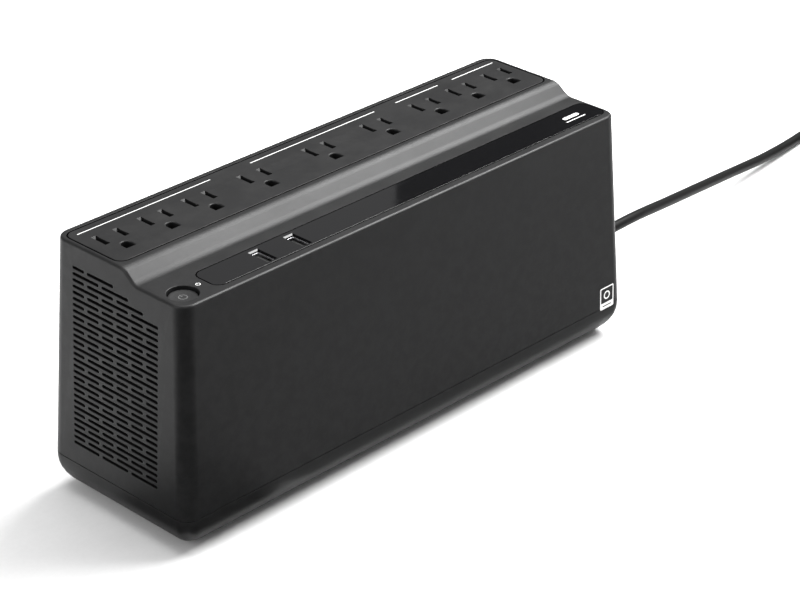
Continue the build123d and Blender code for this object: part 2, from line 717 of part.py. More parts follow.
def strain_relief():
    """Flange, neck through the wall and a ribbed taper round the cord."""
    at = (CORD_Y, CORD_Z)
    wall_x = end_x(CORD_Z)
    inside = rod(8.0, wall_x - WALL - 3.0, wall_x - WALL - 0.7, at, "X")
    neck = rod(6.0, wall_x - WALL - 1.0, BODY_LENGTH / 2 + 0.2, at, "X")
    flange_x = BODY_LENGTH / 2 + 0.1
    flange = rod(8.4, flange_x, flange_x + 2.0, at, "X")
    length = RELIEF_END_X - flange_x - 2.0
    cone = Cone(7.0, 4.3, length)
    taper = Pos(flange_x + 2.0 + length / 2, *at) * Rot(0, 90, 0) * cone
    relief = inside + neck + flange + taper
    for step in range(4):
        x = flange_x + 5.0 + step * 4.2
        ring = rod(9, x, x + 1.6, at, "X") - rod(4.2, x, x + 1.6, at, "X")
        relief -= ring
    return relief


def routed(points, radius):
    """A tube of straight runs and tangent arcs, each as large as its runs allow."""
    spots = [Vector(*point) for point in points]
    radii = []
    for before, here, after in zip(spots, spots[1:], spots[2:]):
        arriving, leaving = here - before, after - here
        half_turn = math.radians(arriving.get_angle(leaving)) / 2
        radii.append(0.45 * min(arriving.length, leaving.length) / math.tan(half_turn))
    path = FilletPolyline(*points, radius=radii)
    section = Plane(path @ 0, z_dir=path % 0) * Circle(radius)
    return sweep(section, path)


def cord_coil():
    """The outer shape of the put-away turns, lying on the standing surface."""
    top = COIL_LIFT + CORD_D * COIL_LAYERS
    at = COIL_CENTRE
    ring = rod(COIL_MEAN_R + CORD_D, COIL_LIFT, top, at) - rod(COIL_MEAN_R - CORD_D, 0, top + 1, at)
    return fillet(ring.edges().filter_by(GeomType.CIRCLE), 2.5)


def cord_ties():
    """Two straps round the bundle of turns."""
    top = COIL_LIFT + CORD_D * COIL_LAYERS
    ties = []
    for side in (-1, 1):
        x = COIL_CENTRE[0] + side * COIL_MEAN_R
        y = (COIL_CENTRE[1] - 5, COIL_CENTRE[1] + 5)
        outer = block((x - CORD_D - 1.2, x + CORD_D + 1.2), y, (0, top + 1.0))
        ties.append(outer - block((x - CORD_D, x + CORD_D), y, (COIL_LIFT, top)))
    return Compound(ties)


def plug_body():
    """The moulded plug, lying on the standing surface, with its own taper."""
    at = (PLUG_Y, PLUG_Z)
    grip = block(GRIP_X, (PLUG_Y - GRIP_HALF_Y, PLUG_Y + GRIP_HALF_Y), (0, 2 * PLUG_Z))
    grip = fillet(grip.edges().filter_by(Axis.X), 7)
    taper = Pos(PLUG_X + 9.5, *at) * Rot(0, -90, 0) * Cone(8.5, 4.4, 19)
    return grip + taper


def plug_pins():
    """Two flat blades and the longer round ground pin."""
    face = GRIP_X[1]
    blade_z = PLUG_Z + BLADE_OVER_CENTRE
    half_y, half_z = BLADE_HALF
    tall = (blade_z - half_z, blade_z + half_z)
    pins = []
    for side in (-1, 1):
        y = PLUG_Y + side * SLOT_OFFSET
        pins.append(block((face, face + BLADE_LONG), (y - half_y, y + half_y), tall))
    pin = rod(PIN_R, face, face + PIN_LONG, (PLUG_Y, blade_z - PIN_BELOW_BLADES), "X")
    pins.append(fillet(pin.edges().sort_by(Axis.X)[-1], 2.0))
    return Compound(pins)


def battery_case():
    """The battery's plastic box, with its lid's step."""
    floor_top = FOOT_PROUD + BASE_FLOOR
    y = (-BATTERY_HALF_Y, BATTERY_HALF_Y)
    case = block(BATTERY_X, y, (floor_top, floor_top + BATTERY_HEIGHT))
    case = fillet(case.edges().filter_by(Axis.Z), 2)
    inner_x = (BATTERY_X[0] + 2.5, BATTERY_X[1] - 2.5)
    inner_y = (y[0] + 2.5, y[1] - 2.5)
    return case - block(inner_x, inner_y, (floor_top + 2.5, floor_top + BATTERY_HEIGHT - 4))


def battery_cells():
    """Six blocks of lead plates, side by side in the case."""
    floor_top = FOOT_PROUD + BASE_FLOOR
    length = (BATTERY_X[1] - BATTERY_X[0] - 5) / 6
    cells = []
    for step in range(6):
        x = BATTERY_X[0] + 2.5 + step * length
        y = (-BATTERY_HALF_Y + 2.5, BATTERY_HALF_Y - 2.5)
        z = (floor_top + 2.5, floor_top + BATTERY_HEIGHT - 4)
        cells.append(block((x + 0.3, x + length - 0.3), y, z))
    return Compound(cells)


def battery_terminals():
    """Two tab terminals on top of the battery."""
    top = FOOT_PROUD + BASE_FLOOR + BATTERY_HEIGHT
    tabs = []
    for x in (BATTERY_X[0] + 8, BATTERY_X[0] + 54):
        tabs.append(block((x - 3.2, x + 3.2), (-20.4, -19.6), (top, top + 6.4)))
    return Compound(tabs)


def battery_leads():
    """Positive and negative leads, from the board to just beside the terminals."""
    top = FOOT_PROUD + BASE_FLOOR + BATTERY_HEIGHT
    leads = []
    for x, start in ((BATTERY_X[0] + 8, -36.5), (BATTERY_X[0] + 54, -40.5)):
        route = [
            (start, BOARD_Y - 1, 76),
            (start, BOARD_Y - 14, 80),
            (start + 4, 7, top + 3.7),
            ((start + 6 + x) / 2, -5, top + 5.7),
            (x - 6, -19.5, top + 3.7),
        ]
        leads.append(routed(route, 1.5))
    return Compound(leads)


def mains_leads():
    """The cord's three cores inside: to the breaker, the board and the ground strip."""
    inside_x = end_x(CORD_Z) - WALL - 3.0
    leads = []
    ends = (
        [(CORD_Y, 32.5), (137, 6, 38), (134, 18, 52), (137, 28.6, 62)],
        [(CORD_Y - 2.5, 27.5), (136, 4, 34), (132, 24, 44), (120, 40, 50), (96, 42, 56)],
        [(CORD_Y + 2.5, 27.5), (136, -8, 46), (141, -6, 76), (146, 4, 110)],
    )
    for (y, z), *rest in ends:
        leads.append(routed([(inside_x, y, z), (inside_x - 12, y, z)] + rest, 1.2))
    return Compound(leads)


def main():
    line_x = [x + SLOT_OFFSET for x in OUTLET_X]
    neutral_x = [x - SLOT_OFFSET for x in OUTLET_X]
    backed, surge = line_x[:BATTERY_OUTLETS], line_x[BATTERY_OUTLETS:]
    line_leaf, neutral_leaf = (LINE_STRIP_Y[1], 28.6), (22.2, NEUTRAL_STRIP_Y[0])
    ground_leaf = (GROUND_STRIP_Y[1], 17.0)
    parts = {
        "housing_shell": housing_shell(),
        "base_tray": base_tray(),
        "battery_cover": battery_cover(),
        "rubber_feet": rubber_feet(),
        "housing_screws": housing_screws(),
        "outlet_panel": outlet_panel(),
        "inlay_strip": inlay_strip(),
        "line_strip_battery": contact_strip(backed, LINE_STRIP_Y, line_leaf, 0.78),
        "line_strip_surge": contact_strip(surge, LINE_STRIP_Y, line_leaf, 0.78),
        "neutral_strip": contact_strip(neutral_x, NEUTRAL_STRIP_Y, neutral_leaf, 0.78),
        "ground_strip": contact_strip(OUTLET_X, GROUND_STRIP_Y, ground_leaf, 2.35),
        "usb_charger_board": usb_charger_board(),
        "power_button": power_button(),
        "power_button_spring": power_button_spring(),
        "power_switch": power_switch(),
        "button_board": button_board(),
        "main_circuit_board": main_circuit_board(),
        "board_standoffs": board_standoffs(),
        "inner_screws": inner_screws(),
        "transformer_core": transformer_core(),
        "transformer_winding": transformer_winding(),
        "transformer_bracket": transformer_bracket(),
        "heat_sinks": heat_sinks(),
        "power_transistors": power_transistors(),
        "relays": relays(),
        "filter_capacitor": filter_capacitor(),
        "bulk_capacitors": bulk_capacitors(),
        "noise_choke": noise_choke(),
        "main_fuse": main_fuse(),
        "surge_varistors": surge_varistors(),
        "alarm_buzzer": alarm_buzzer(),
        "data_port": data_port(),
        "data_port_contacts": data_port_contacts(),
        "breaker_body": breaker_body(),
        "breaker_nut": breaker_nut(),
        "breaker_button": breaker_button(),
        "battery_case": battery_case(),
        "battery_cells": battery_cells(),
        "battery_terminals": battery_terminals(),
        "battery_leads": battery_leads(),
        "mains_leads": mains_leads(),
        "strain_relief": strain_relief(),
        "power_cord": routed(CORD_ROUTE, CORD_D / 2),
        "cord_coil": cord_coil(),
        "cord_tail": routed(TAIL_ROUTE, CORD_D / 2),
        "cord_ties": cord_ties(),
        "plug_body": plug_body(),
        "plug_pins": plug_pins(),
    }
    for number, x in enumerate(OUTLET_X, 1):
        parts[f"receptacle_body_{number}"] = receptacle_body(x)
    for number, x in enumerate(USB_X, 1):
        parts[f"usb_shell_{number}"] = usb_shell(x)
    parts["usb_tongues"] = Compound([usb_tongue(x) for x in USB_X])
    os.makedirs("parts", exist_ok=True)
    for name, shape in parts.items():
        export_step(shape, f"parts/{name}.step")
        print(name, len(shape.solids()), round(shape.volume))
    print("nodes", len(parts))


if __name__ == "__main__":
    main()
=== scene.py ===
import json
import math

import bmesh
import bpy
from mathutils import Matrix, Vector


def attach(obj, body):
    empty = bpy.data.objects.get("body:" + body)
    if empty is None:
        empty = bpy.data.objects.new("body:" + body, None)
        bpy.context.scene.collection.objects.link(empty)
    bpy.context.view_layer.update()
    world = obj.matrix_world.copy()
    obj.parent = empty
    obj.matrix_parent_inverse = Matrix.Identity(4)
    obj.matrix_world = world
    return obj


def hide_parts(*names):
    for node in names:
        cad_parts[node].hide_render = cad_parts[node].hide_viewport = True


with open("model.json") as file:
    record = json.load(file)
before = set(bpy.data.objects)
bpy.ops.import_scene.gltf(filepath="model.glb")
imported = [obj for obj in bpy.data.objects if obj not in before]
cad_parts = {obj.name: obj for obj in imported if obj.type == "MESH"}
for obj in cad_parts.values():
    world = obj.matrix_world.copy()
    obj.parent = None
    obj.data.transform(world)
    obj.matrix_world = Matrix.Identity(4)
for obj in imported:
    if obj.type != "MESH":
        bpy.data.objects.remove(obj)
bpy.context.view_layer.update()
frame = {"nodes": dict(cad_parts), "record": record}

bl_info = {
    "name": "Battery Backup Unit",
    "version": (1, 0, 0),
    "blender": (4, 5, 0),
    "location": "View3D > Sidebar > Backup Unit",
    "description": "Builds a desktop battery backup unit around its packed frame",
    "category": "Add Mesh",
}

MM = 0.001

# --- sizes shared by several pieces, in millimetres ------------------------------
SEAM_Z = 21.0
LOW_TOP = 133.9
HIGH_TOP = 140.2
FLOOR_GAP = 0.8
BASE_FLOOR_TOP = FLOOR_GAP + 4.5
STEP_CREST_Y = -4.6
STEP_ANGLE = math.radians(38.0)
STEP_BLEND = 7.6
STEP_FOOT_Y = STEP_CREST_Y - (HIGH_TOP - LOW_TOP) / math.tan(STEP_ANGLE)
HALF_LENGTH = 162.35
END_POST_X = 100
HALF_WIDTH = 51.15
END_DRAFT = 0.063
SIDE_DRAFT = 0.036
SLOT_OFFSET = 6.35
SLOT_Y = 25.3
GROUND_Y = 13.3
PANEL_GAP = 0.9
STRIP_GAP = 0.75
OUTLET_X = (-136.9, -108.3, -79.7, -42.4, 2.7, 44.6, 81.5, 110.0, 138.4)
PANEL_HALF_LENGTH = 151.9
PANEL_Y = (0.6, 42.4)
USB_X = (-91.8, -68.6)
USB_Y = -33.3
USB_SIZE = (6.1, 13.1)
USB_WALL = 0.38
USB_LOW = LOW_TOP - 14.4
VENT_Y = (-29.8, 32.5)
VENT_FIRST = 11.6
VENT_PITCH = 3.283
INLAY_X = (-128.3, 152.8)
INLAY_Y = (-41.4, -23.5)
INLAY_THICK = 1.2
BUTTON_AT = (-144.1, -34.5)
BUTTON_R = 7.4
WELL_R = 7.8
KEY_SUNK = 1.8
TOWERS = ((-150, -36), (-150, 36), (150, -36), (150, 36), (-40, -41), (-40, 41))
FEET = ((-135, -25), (-135, 25), (135, -25), (135, 25))
BAY_X = (-31.0, 122.0)
BAY_HALF_Y = 33.5
TRANSFORMER_AT = (-85.0, -5.0)
TRANSFORMER_POST = 37.5
KEYHOLE_X = 135.0
KEYHOLE_R = 4.5
KEYHOLE_NECK = 2.3
KEYHOLE_REACH = 8
BREAKER_AT = (36.0, 62.0)
BREAKER_HOLE = 4.7
NUT_HALF_WIDTH = 7.0
NUT_THICK = 1.2
NUT_X = 160.95
PORT_AT = (36.0, 90.0)
CORD_AT = (-3.5, 30.0)
CORNER = 8.0
HOUSING_WALL = 2.5
BASE_WALL = 3.0
CORD_R = 3.1
COIL_CENTRE = (490.0, -3.0)
COIL_OUTER_R = 39.1
COIL_INNER_R = 32.9
RELIEF_END = 188.0
PLUG_X = 552.0
PLUG_FACE = PLUG_X + 46
PLUG_AT = (36.1, 12.2)


def end_x(z):
    """Half the casing's length at a height."""
    return HALF_LENGTH - END_DRAFT * (z - SEAM_Z)


def side_y(z):
    """Half the casing's width at a height."""
    return HALF_WIDTH - SIDE_DRAFT * (z - SEAM_Z)


def about(centre, half):
    """The low and high value round a centre."""
    return centre - half, centre + half


def wider(span, by):
    """A low and a high value moved apart, or together where by is negative."""
    return span[0] - by, span[1] + by


# --- modelling helpers -------------------------------------------------------------
def nothing_selected():
    if bpy.context.object is not None and bpy.context.object.mode != "OBJECT":
        bpy.ops.object.mode_set(mode="OBJECT")
    bpy.ops.object.select_all(action="DESELECT")


def take(obj):
    """Makes obj the only selected and the active object."""
    nothing_selected()
    obj.select_set(True)
    bpy.context.view_layer.objects.active = obj


def fixed(obj):
    """Puts an object's place, turn and size into its mesh."""
    take(obj)
    bpy.ops.object.transform_apply(location=True, rotation=True, scale=True)
    return obj


def settled(name):
    """Names the active object and puts its place and size into its mesh."""
    obj = bpy.context.object
    obj.name = name
    obj.data.name = name
    bpy.ops.object.transform_apply(location=True, rotation=True, scale=True)
    return obj


def block(name, x, y, z):
    """A box between low and high values in millimetres."""
    nothing_selected()
    size = [(high - low) * MM for low, high in (x, y, z)]
    centre = [(low + high) / 2 * MM for low, high in (x, y, z)]
    bpy.ops.mesh.primitive_cube_add(size=1, location=centre, scale=size)
    return settled(name)


def rod(name, radius, low, high, at, axis="Z", sides=48):
    """A cylinder from low to high along an axis, in millimetres."""
    nothing_selected()
    halfway = (low + high) / 2
    spot, turn = (at[0], at[1], halfway), (0, 0, 0)
    if axis == "X":
        spot, turn = (halfway, at[0], at[1]), (0, math.pi / 2, 0)
    bpy.ops.mesh.primitive_cylinder_add(
        vertices=sides,
        radius=radius * MM,
        depth=(high - low) * MM,
        location=[value * MM for value in spot],
        rotation=turn,
    )
    return settled(name)


def edit(obj, kind="EDGE"):
    """Enters edit mode on obj with nothing selected."""
    take(obj)
    bpy.ops.object.mode_set(mode="EDIT")
    bpy.ops.mesh.select_mode(type=kind)
    bpy.ops.mesh.select_all(action="DESELECT")


def pick(obj, kind, test):
    """Selects the edit mesh's faces, edges or verts that pass the test."""
    bpy.ops.mesh.select_all(action="DESELECT")
    mesh = bmesh.from_edit_mesh(obj.data)
    count = 0
    for part in getattr(mesh, kind):
        if test(part):
            part.select_set(True)
            count += 1
    mesh.select_flush_mode()
    bmesh.update_edit_mesh(obj.data)
    if count == 0:
        raise RuntimeError(f"{obj.name}: nothing to select")


def finish_edit():
    bpy.ops.object.mode_set(mode="OBJECT")


def middle(edge):
    return (edge.verts[0].co + edge.verts[1].co) / (2 * MM)


def along(edge, axis):
    """True if the edge runs along an axis."""
    run = edge.verts[1].co - edge.verts[0].co
    return abs(run[axis]) > 0.999 * run.length


def bevel(width, segments, kind="EDGES"):
    bpy.ops.mesh.bevel(
        offset=width * MM,
        offset_type="OFFSET",
        segments=segments,
        profile=0.5,
        affect=kind,
        clamp_overlap=False,
    )


def round_along(obj, axis, radius, segments=6, test=None):
    """Rounds the edges that run along an axis and whose middle passes the test."""
    edit(obj)
    pick(obj, "edges", lambda e: along(e, axis) and (test is None or test(middle(e))))
    bevel(radius, segments)
    finish_edit()


def round_at(obj, axis, value, radius, segments=3):
    """Rounds the edges that lie at a place along an axis."""
    edit(obj)
    pick(obj, "edges", lambda e: all(abs(v.co[axis] / MM - value) < 0.01 for v in e.verts))
    bevel(radius, segments)
    finish_edit()


def plate(name, x, y, z, corner, segments=6):
    """A block with rounded upright corners."""
    obj = block(name, x, y, z)
    round_along(obj, 2, corner, segments)
    return obj


def hole_cutter(name, x, y, top, bottom, corner, lip, segments=5, corners=None):
    """A cutter whose upper part flares, so that it leaves a rounded rim on the hole."""
    grow = lip + 0.02
    above = top + 0.005
    outer_x, outer_y = wider(x, grow), wider(y, grow)
    obj = block(name, outer_x, outer_y, (above, top + 2.0))
    if corner > 0:
        round_along(obj, 2, corner + grow, segments, corners)
    edit(obj, "FACE")
    pick(obj, "faces", lambda f: f.normal.z < -0.9)
    inward, down = 0.0, above
    steps = 3
    for step in range(1, steps + 1):
        angle = math.pi / 2 * step / steps
        target_in = 0.02 + lip * math.sin(angle)
        target_z = top - lip * (1 - math.cos(angle))
        bpy.ops.mesh.inset(thickness=(target_in - inward) * MM, depth=0, use_even_offset=True)
        bpy.ops.transform.translate(value=(0, 0, (target_z - down) * MM))
        inward, down = target_in, target_z
    bpy.ops.mesh.extrude_region_move(TRANSFORM_OT_translate={"value": (0, 0, (bottom - down) * MM)})
    finish_edit()
    return obj


def copied(source, move):
    """A copy of source with its own mesh, moved in millimetres."""
    other = source.copy()
    other.data = source.data.copy()
    other.data.transform(Matrix.Translation(Vector(move) * MM))
    bpy.context.collection.objects.link(other)
    return other


def spread(source, spots):
    """Copies of source moved by each spot; the source goes."""
    copies = [copied(source, spot) for spot in spots]
    bpy.data.objects.remove(source, do_unlink=True)
    return copies


def joined(name, pieces):
    """One object from several that don't touch."""
    take(pieces[0])
    for piece in pieces:
        piece.select_set(True)
    if len(pieces) > 1:
        bpy.ops.object.join()
    return settled(name)


def combine(obj, tool, operation="DIFFERENCE"):
    """Cuts the tool out of obj, adds it, or keeps what both have; the tool goes."""
    change = obj.modifiers.new("change", "BOOLEAN")
    change.operation = operation
    change.solver = "MANIFOLD"
    change.object = tool
    take(obj)
    bpy.ops.object.modifier_apply(modifier=change.name)
    mesh = tool.data
    bpy.data.objects.remove(tool, do_unlink=True)
    bpy.data.meshes.remove(mesh)
    return obj


def cleaned(obj, distance=0.002):
    """Merges doubles and turns faces outwards."""
    edit(obj, "VERT")
    bpy.ops.mesh.select_all(action="SELECT")
    bpy.ops.mesh.remove_doubles(threshold=distance * MM)
    bpy.ops.mesh.dissolve_degenerate(threshold=0.0005 * MM)
    bpy.ops.mesh.select_all(action="SELECT")
    bpy.ops.mesh.normals_make_consistent(inside=False)
    finish_edit()
    return obj


def smoothed(obj, angle=35):
    """Smooth shading up to an angle, with flat faces kept flat."""
    take(obj)
    bpy.ops.object.shade_smooth_by_angle(angle=math.radians(angle))
    weigh = obj.modifiers.new("weigh", "WEIGHTED_NORMAL")
    weigh.keep_sharp = True
    bpy.ops.object.modifier_apply(modifier=weigh.name)
    return obj


def place(obj, body, slot, *nodes, finish=None):
    """Gives a finished piece its body, its finish and the nodes that it stands for."""
    obj.data.materials.clear()
    obj.data.materials.append(finishes()[finish or slot])
    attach(obj, body)
    if nodes:
        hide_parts(*nodes)
    return obj


def turned(name, at, profile, axis="Z", sides=48):
    """A solid of revolution from (position, radius) pairs in millimetres."""
    nothing_selected()
    first, radius = profile[0]
    bpy.ops.mesh.primitive_circle_add(
        vertices=sides, radius=radius * MM, fill_type="NGON", location=(0, 0, first * MM)
    )
    obj = settled(name)
    edit(obj, "FACE")
    bpy.ops.mesh.select_all(action="SELECT")
    for (here, now), (there, then) in zip(profile, profile[1:]):
        rise = (0, 0, (there - here) * MM)
        bpy.ops.mesh.extrude_region_move(TRANSFORM_OT_translate={"value": rise})
        if then != now:
            share = then / now
            bpy.ops.transform.resize(value=(share, share, 1), center_override=(0, 0, 0))
    finish_edit()
    if axis == "X":
        obj.rotation_euler = (0, math.pi / 2, 0)
        obj.location = (0, at[0] * MM, at[1] * MM)
    else:
        obj.location = (at[0] * MM, at[1] * MM, 0)
    fixed(obj)
    return cleaned(obj)


def on_end(obj, side):
    """Turns a cutter made lying flat so that its top faces out of a drafted end."""
    lean = math.atan(END_DRAFT)
    obj.rotation_euler = (0, side * (math.pi / 2 - lean), 0)
    obj.location = (side * HALF_LENGTH * MM, 0, SEAM_Z * MM)
    return fixed(obj)


def up_end(z, side):
    """Where a height on a drafted end lies along X before on_end turns it."""
    return -side * (z - SEAM_Z) / math.cos(math.atan(END_DRAFT))


# --- shader groups and materials ------------------------------------------------------
SOCKET_KINDS = {
    "Vector": "NodeSocketVector",
    "Stretch": "NodeSocketVector",
    "Colour": "NodeSocketColor",
    "Rubbed": "NodeSocketColor",
}


def new_group(name, inputs, outputs):
    """An empty shader group, from its inputs' defaults and its outputs' labels."""
    group = bpy.data.node_groups.new(name, "ShaderNodeTree")
    for label, default in inputs.items():
        kind = SOCKET_KINDS.get(label, "NodeSocketFloat")
        socket = group.interface.new_socket(name=label, in_out="INPUT", socket_type=kind)
        socket.default_value = default
    for label in outputs:
        kind = SOCKET_KINDS.get(label, "NodeSocketFloat")
        group.interface.new_socket(name=label, in_out="OUTPUT", socket_type=kind)
    return group, group.nodes.new("NodeGroupInput").outputs, group.nodes.new("NodeGroupOutput").inputs


def feed(tree, socket, value):
    """Links another node's output to a socket, or sets a plain value."""
    if isinstance(value, bpy.types.NodeSocket):
        tree.links.new(value, socket)
    else:
        socket.default_value = value


def number_node(group, operation, first, second):
    """A Math node whose inputs are sockets or numbers."""
    node = group.nodes.new("ShaderNodeMath")
    node.operation = operation
    feed(group, node.inputs[0], first)
    feed(group, node.inputs[1], second)
    return node.outputs[0]


def noise_node(group, vector, scale, detail, roughness=0.5):
    node = group.nodes.new("ShaderNodeTexNoise")
    for label, value in (("Vector", vector), ("Scale", scale), ("Detail", detail), ("Roughness", roughness)):
        feed(group, node.inputs[label], value)
    return node.outputs["Fac"]


def ranged(group, value, from_low, from_high, to_low, to_high):
    node = group.nodes.new("ShaderNodeMapRange")
    labels = ("Value", "From Min", "From Max", "To Min", "To Max")
    for label, limit in zip(labels, (value, from_low, from_high, to_low, to_high)):
        feed(group, node.inputs[label], limit)
    return node.outputs["Result"]


def mixed(group, factor, first, second, blend="MIX"):
    node = group.nodes.new("ShaderNodeMix")
    node.data_type = "RGBA"
    node.blend_type = blend
    for number, value in ((0, factor), (6, first), (7, second)):
        feed(group, node.inputs[number], value)
    return node.outputs[2]


def grain_group():
    """Fine spark-eroded texture: colour drift, roughness drift and height."""
    group, given, gives = new_group(
        "moulded_grain",
        {
            "Vector": (0, 0, 0),
            "Colour": (0.02, 0.02, 0.02, 1),
            "Grain Scale": 1500.0,
            "Drift": 0.12,
            "Roughness": 0.45,
        },
        ("Colour", "Roughness", "Height"),
    )
    vector = given["Vector"]
    fine = noise_node(group, vector, given["Grain Scale"], 3, 0.55)
    broad = noise_node(group, vector, 14.0, 4, 0.6)
    low = number_node(group, "SUBTRACT", 1.0, given["Drift"])
    high = number_node(group, "ADD", 1.0, given["Drift"])
    tone = ranged(group, fine, 0.35, 0.65, low, high)
    veil = ranged(group, broad, 0.3, 0.7, 0.96, 1.05)
    shade = number_node(group, "MULTIPLY", tone, veil)
    scaled = group.nodes.new("ShaderNodeVectorMath")
    scaled.operation = "SCALE"
    group.links.new(given["Colour"], scaled.inputs[0])
    group.links.new(shade, scaled.inputs["Scale"])
    group.links.new(scaled.outputs[0], gives["Colour"])
    sheen = ranged(group, broad, 0.3, 0.7, -0.03, 0.04)
    spark = ranged(group, fine, 0.3, 0.7, -0.04, 0.05)
    rough = number_node(group, "ADD", given["Roughness"], number_node(group, "ADD", sheen, spark))
    group.links.new(rough, gives["Roughness"])
    group.links.new(fine, gives["Height"])
    return group


def wear_group():
    """Edges rubbed a little lighter and smoother, from how sharply the surface turns."""
    group, given, gives = new_group(
        "edge_rub",
        {
            "Vector": (0, 0, 0),
            "Colour": (0.02, 0.02, 0.02, 1),
            "Rubbed": (0.06, 0.06, 0.06, 1),
            "Roughness": 0.45,
            "Amount": 0.5,
        },
        ("Colour", "Roughness"),
    )
    shape = group.nodes.new("ShaderNodeNewGeometry")
    edge = ranged(group, shape.outputs["Pointiness"], 0.51, 0.56, 0.0, 1.0)
    patch = ranged(group, noise_node(group, given["Vector"], 160.0, 4, 0.7), 0.4, 0.62, 0.0, 1.0)
    mask = number_node(group, "MULTIPLY", number_node(group, "MULTIPLY", edge, patch), given["Amount"])
    tint = mixed(group, mask, given["Colour"], given["Rubbed"])
    group.links.new(tint, gives["Colour"])
    eased = number_node(group, "MULTIPLY", mask, -0.12)
    rough = number_node(group, "ADD", given["Roughness"], eased)
    group.links.new(rough, gives["Roughness"])
    return group


def dust_group():
    """A trace of pale dust on faces that look up."""
    group, given, gives = new_group(
        "settled_dust",
        {
            "Vector": (0, 0, 0),
            "Colour": (0.02, 0.02, 0.02, 1),
            "Roughness": 0.45,
            "Amount": 0.02,
        },
        ("Colour", "Roughness"),
    )
    shape = group.nodes.new("ShaderNodeNewGeometry")
    split = group.nodes.new("ShaderNodeSeparateXYZ")
    group.links.new(shape.outputs["Normal"], split.inputs[0])
    up = ranged(group, split.outputs["Z"], 0.3, 1.0, 0.0, 1.0)
    cloud = ranged(group, noise_node(group, given["Vector"], 55.0, 6, 0.7), 0.42, 0.7, 0.0, 1.0)
    mask = number_node(group, "MULTIPLY", number_node(group, "MULTIPLY", up, cloud), given["Amount"])
    tint = mixed(group, mask, given["Colour"], (0.5, 0.49, 0.47, 1))
    group.links.new(tint, gives["Colour"])
    rough = number_node(group, "ADD", given["Roughness"], number_node(group, "MULTIPLY", mask, 0.3))
    group.links.new(rough, gives["Roughness"])
    return group


def streak_group():
    """Drawn or brushed streaks along one axis of a metal."""
    group, given, gives = new_group(
        "drawn_streaks",
        {
            "Vector": (0, 0, 0),
            "Stretch": (60, 2500, 2500),
            "Colour": (0.6, 0.6, 0.6, 1),
            "Roughness": 0.3,
            "Stain": 0.2,
        },
        ("Colour", "Roughness", "Height"),
    )
    stretched = group.nodes.new("ShaderNodeVectorMath")
    stretched.operation = "MULTIPLY"
    group.links.new(given["Vector"], stretched.inputs[0])
    group.links.new(given["Stretch"], stretched.inputs[1])
    streak = noise_node(group, stretched.outputs[0], 1.0, 4, 0.6)
    cloud = noise_node(group, given["Vector"], 90.0, 5, 0.65)
    stain = number_node(group, "MULTIPLY", ranged(group, cloud, 0.45, 0.7, 0.0, 1.0), given["Stain"])
    darker = mixed(group, 1.0, given["Colour"], (0.45, 0.42, 0.38, 1), "MULTIPLY")
    group.links.new(mixed(group, stain, given["Colour"], darker), gives["Colour"])
    spread = ranged(group, streak, 0.3, 0.7, -0.08, 0.1)
    rough = number_node(group, "ADD", given["Roughness"], spread)
    group.links.new(number_node(group, "ADD", rough, stain), gives["Roughness"])
    group.links.new(streak, gives["Height"])
    return group


def hairline_group():
    """Hairline scratches and faint smears on a polished face."""
    group, given, gives = new_group(
        "polish_marks",
        {"Vector": (0, 0, 0), "Roughness": 0.05},
        ("Roughness", "Height"),
    )
    stretched = group.nodes.new("ShaderNodeVectorMath")
    stretched.operation = "MULTIPLY"
    group.links.new(given["Vector"], stretched.inputs[0])
    stretched.inputs[1].default_value = (40, 1400, 300)
    line = noise_node(group, stretched.outputs[0], 1.0, 2, 0.5)
    scratch = ranged(group, line, 0.66, 0.72, 0.0, 1.0)
    smear = ranged(group, noise_node(group, given["Vector"], 28.0, 4, 0.6), 0.35, 0.7, 0.0, 0.06)
    extra = number_node(group, "ADD", smear, number_node(group, "MULTIPLY", scratch, 0.1))
    group.links.new(number_node(group, "ADD", given["Roughness"], extra), gives["Roughness"])
    group.links.new(number_node(group, "MULTIPLY", scratch, -1.0), gives["Height"])
    return group


GROUPS = {}


def shader_groups():
    """Builds the shared groups once."""
    if not GROUPS:
        GROUPS["grain"] = grain_group()
        GROUPS["wear"] = wear_group()
        GROUPS["dust"] = dust_group()
        GROUPS["streak"] = streak_group()
        GROUPS["hairline"] = hairline_group()
    return GROUPS


def shader_start(name):
    material = bpy.data.materials.new(name)
    material.use_nodes = True
    tree = material.node_tree
    shader = tree.nodes["Principled BSDF"]
    where = tree.nodes.new("ShaderNodeTexCoord").outputs["Object"]
    return material, tree, shader, where


def group_node(tree, key, where, **values):
    node = tree.nodes.new("ShaderNodeGroup")
    node.node_tree = shader_groups()[key]
    tree.links.new(where, node.inputs["Vector"])
    for label, value in values.items():
        feed(tree, node.inputs[label.replace("_", " ")], value)
    return node


def coat(tree, shader, node):
    """Links a group's colour and roughness to the shader."""
    tree.links.new(node.outputs["Colour"], shader.inputs["Base Color"])
    tree.links.new(node.outputs["Roughness"], shader.inputs["Roughness"])


def bump(tree, shader, height, strength, distance):
    node = tree.nodes.new("ShaderNodeBump")
    node.inputs["Strength"].default_value = strength
    node.inputs["Distance"].default_value = distance * MM
    tree.links.new(height, node.inputs["Height"])
    tree.links.new(node.outputs["Normal"], shader.inputs["Normal"])


def opaque(colour):
    return (colour[0], colour[1], colour[2], 1.0)


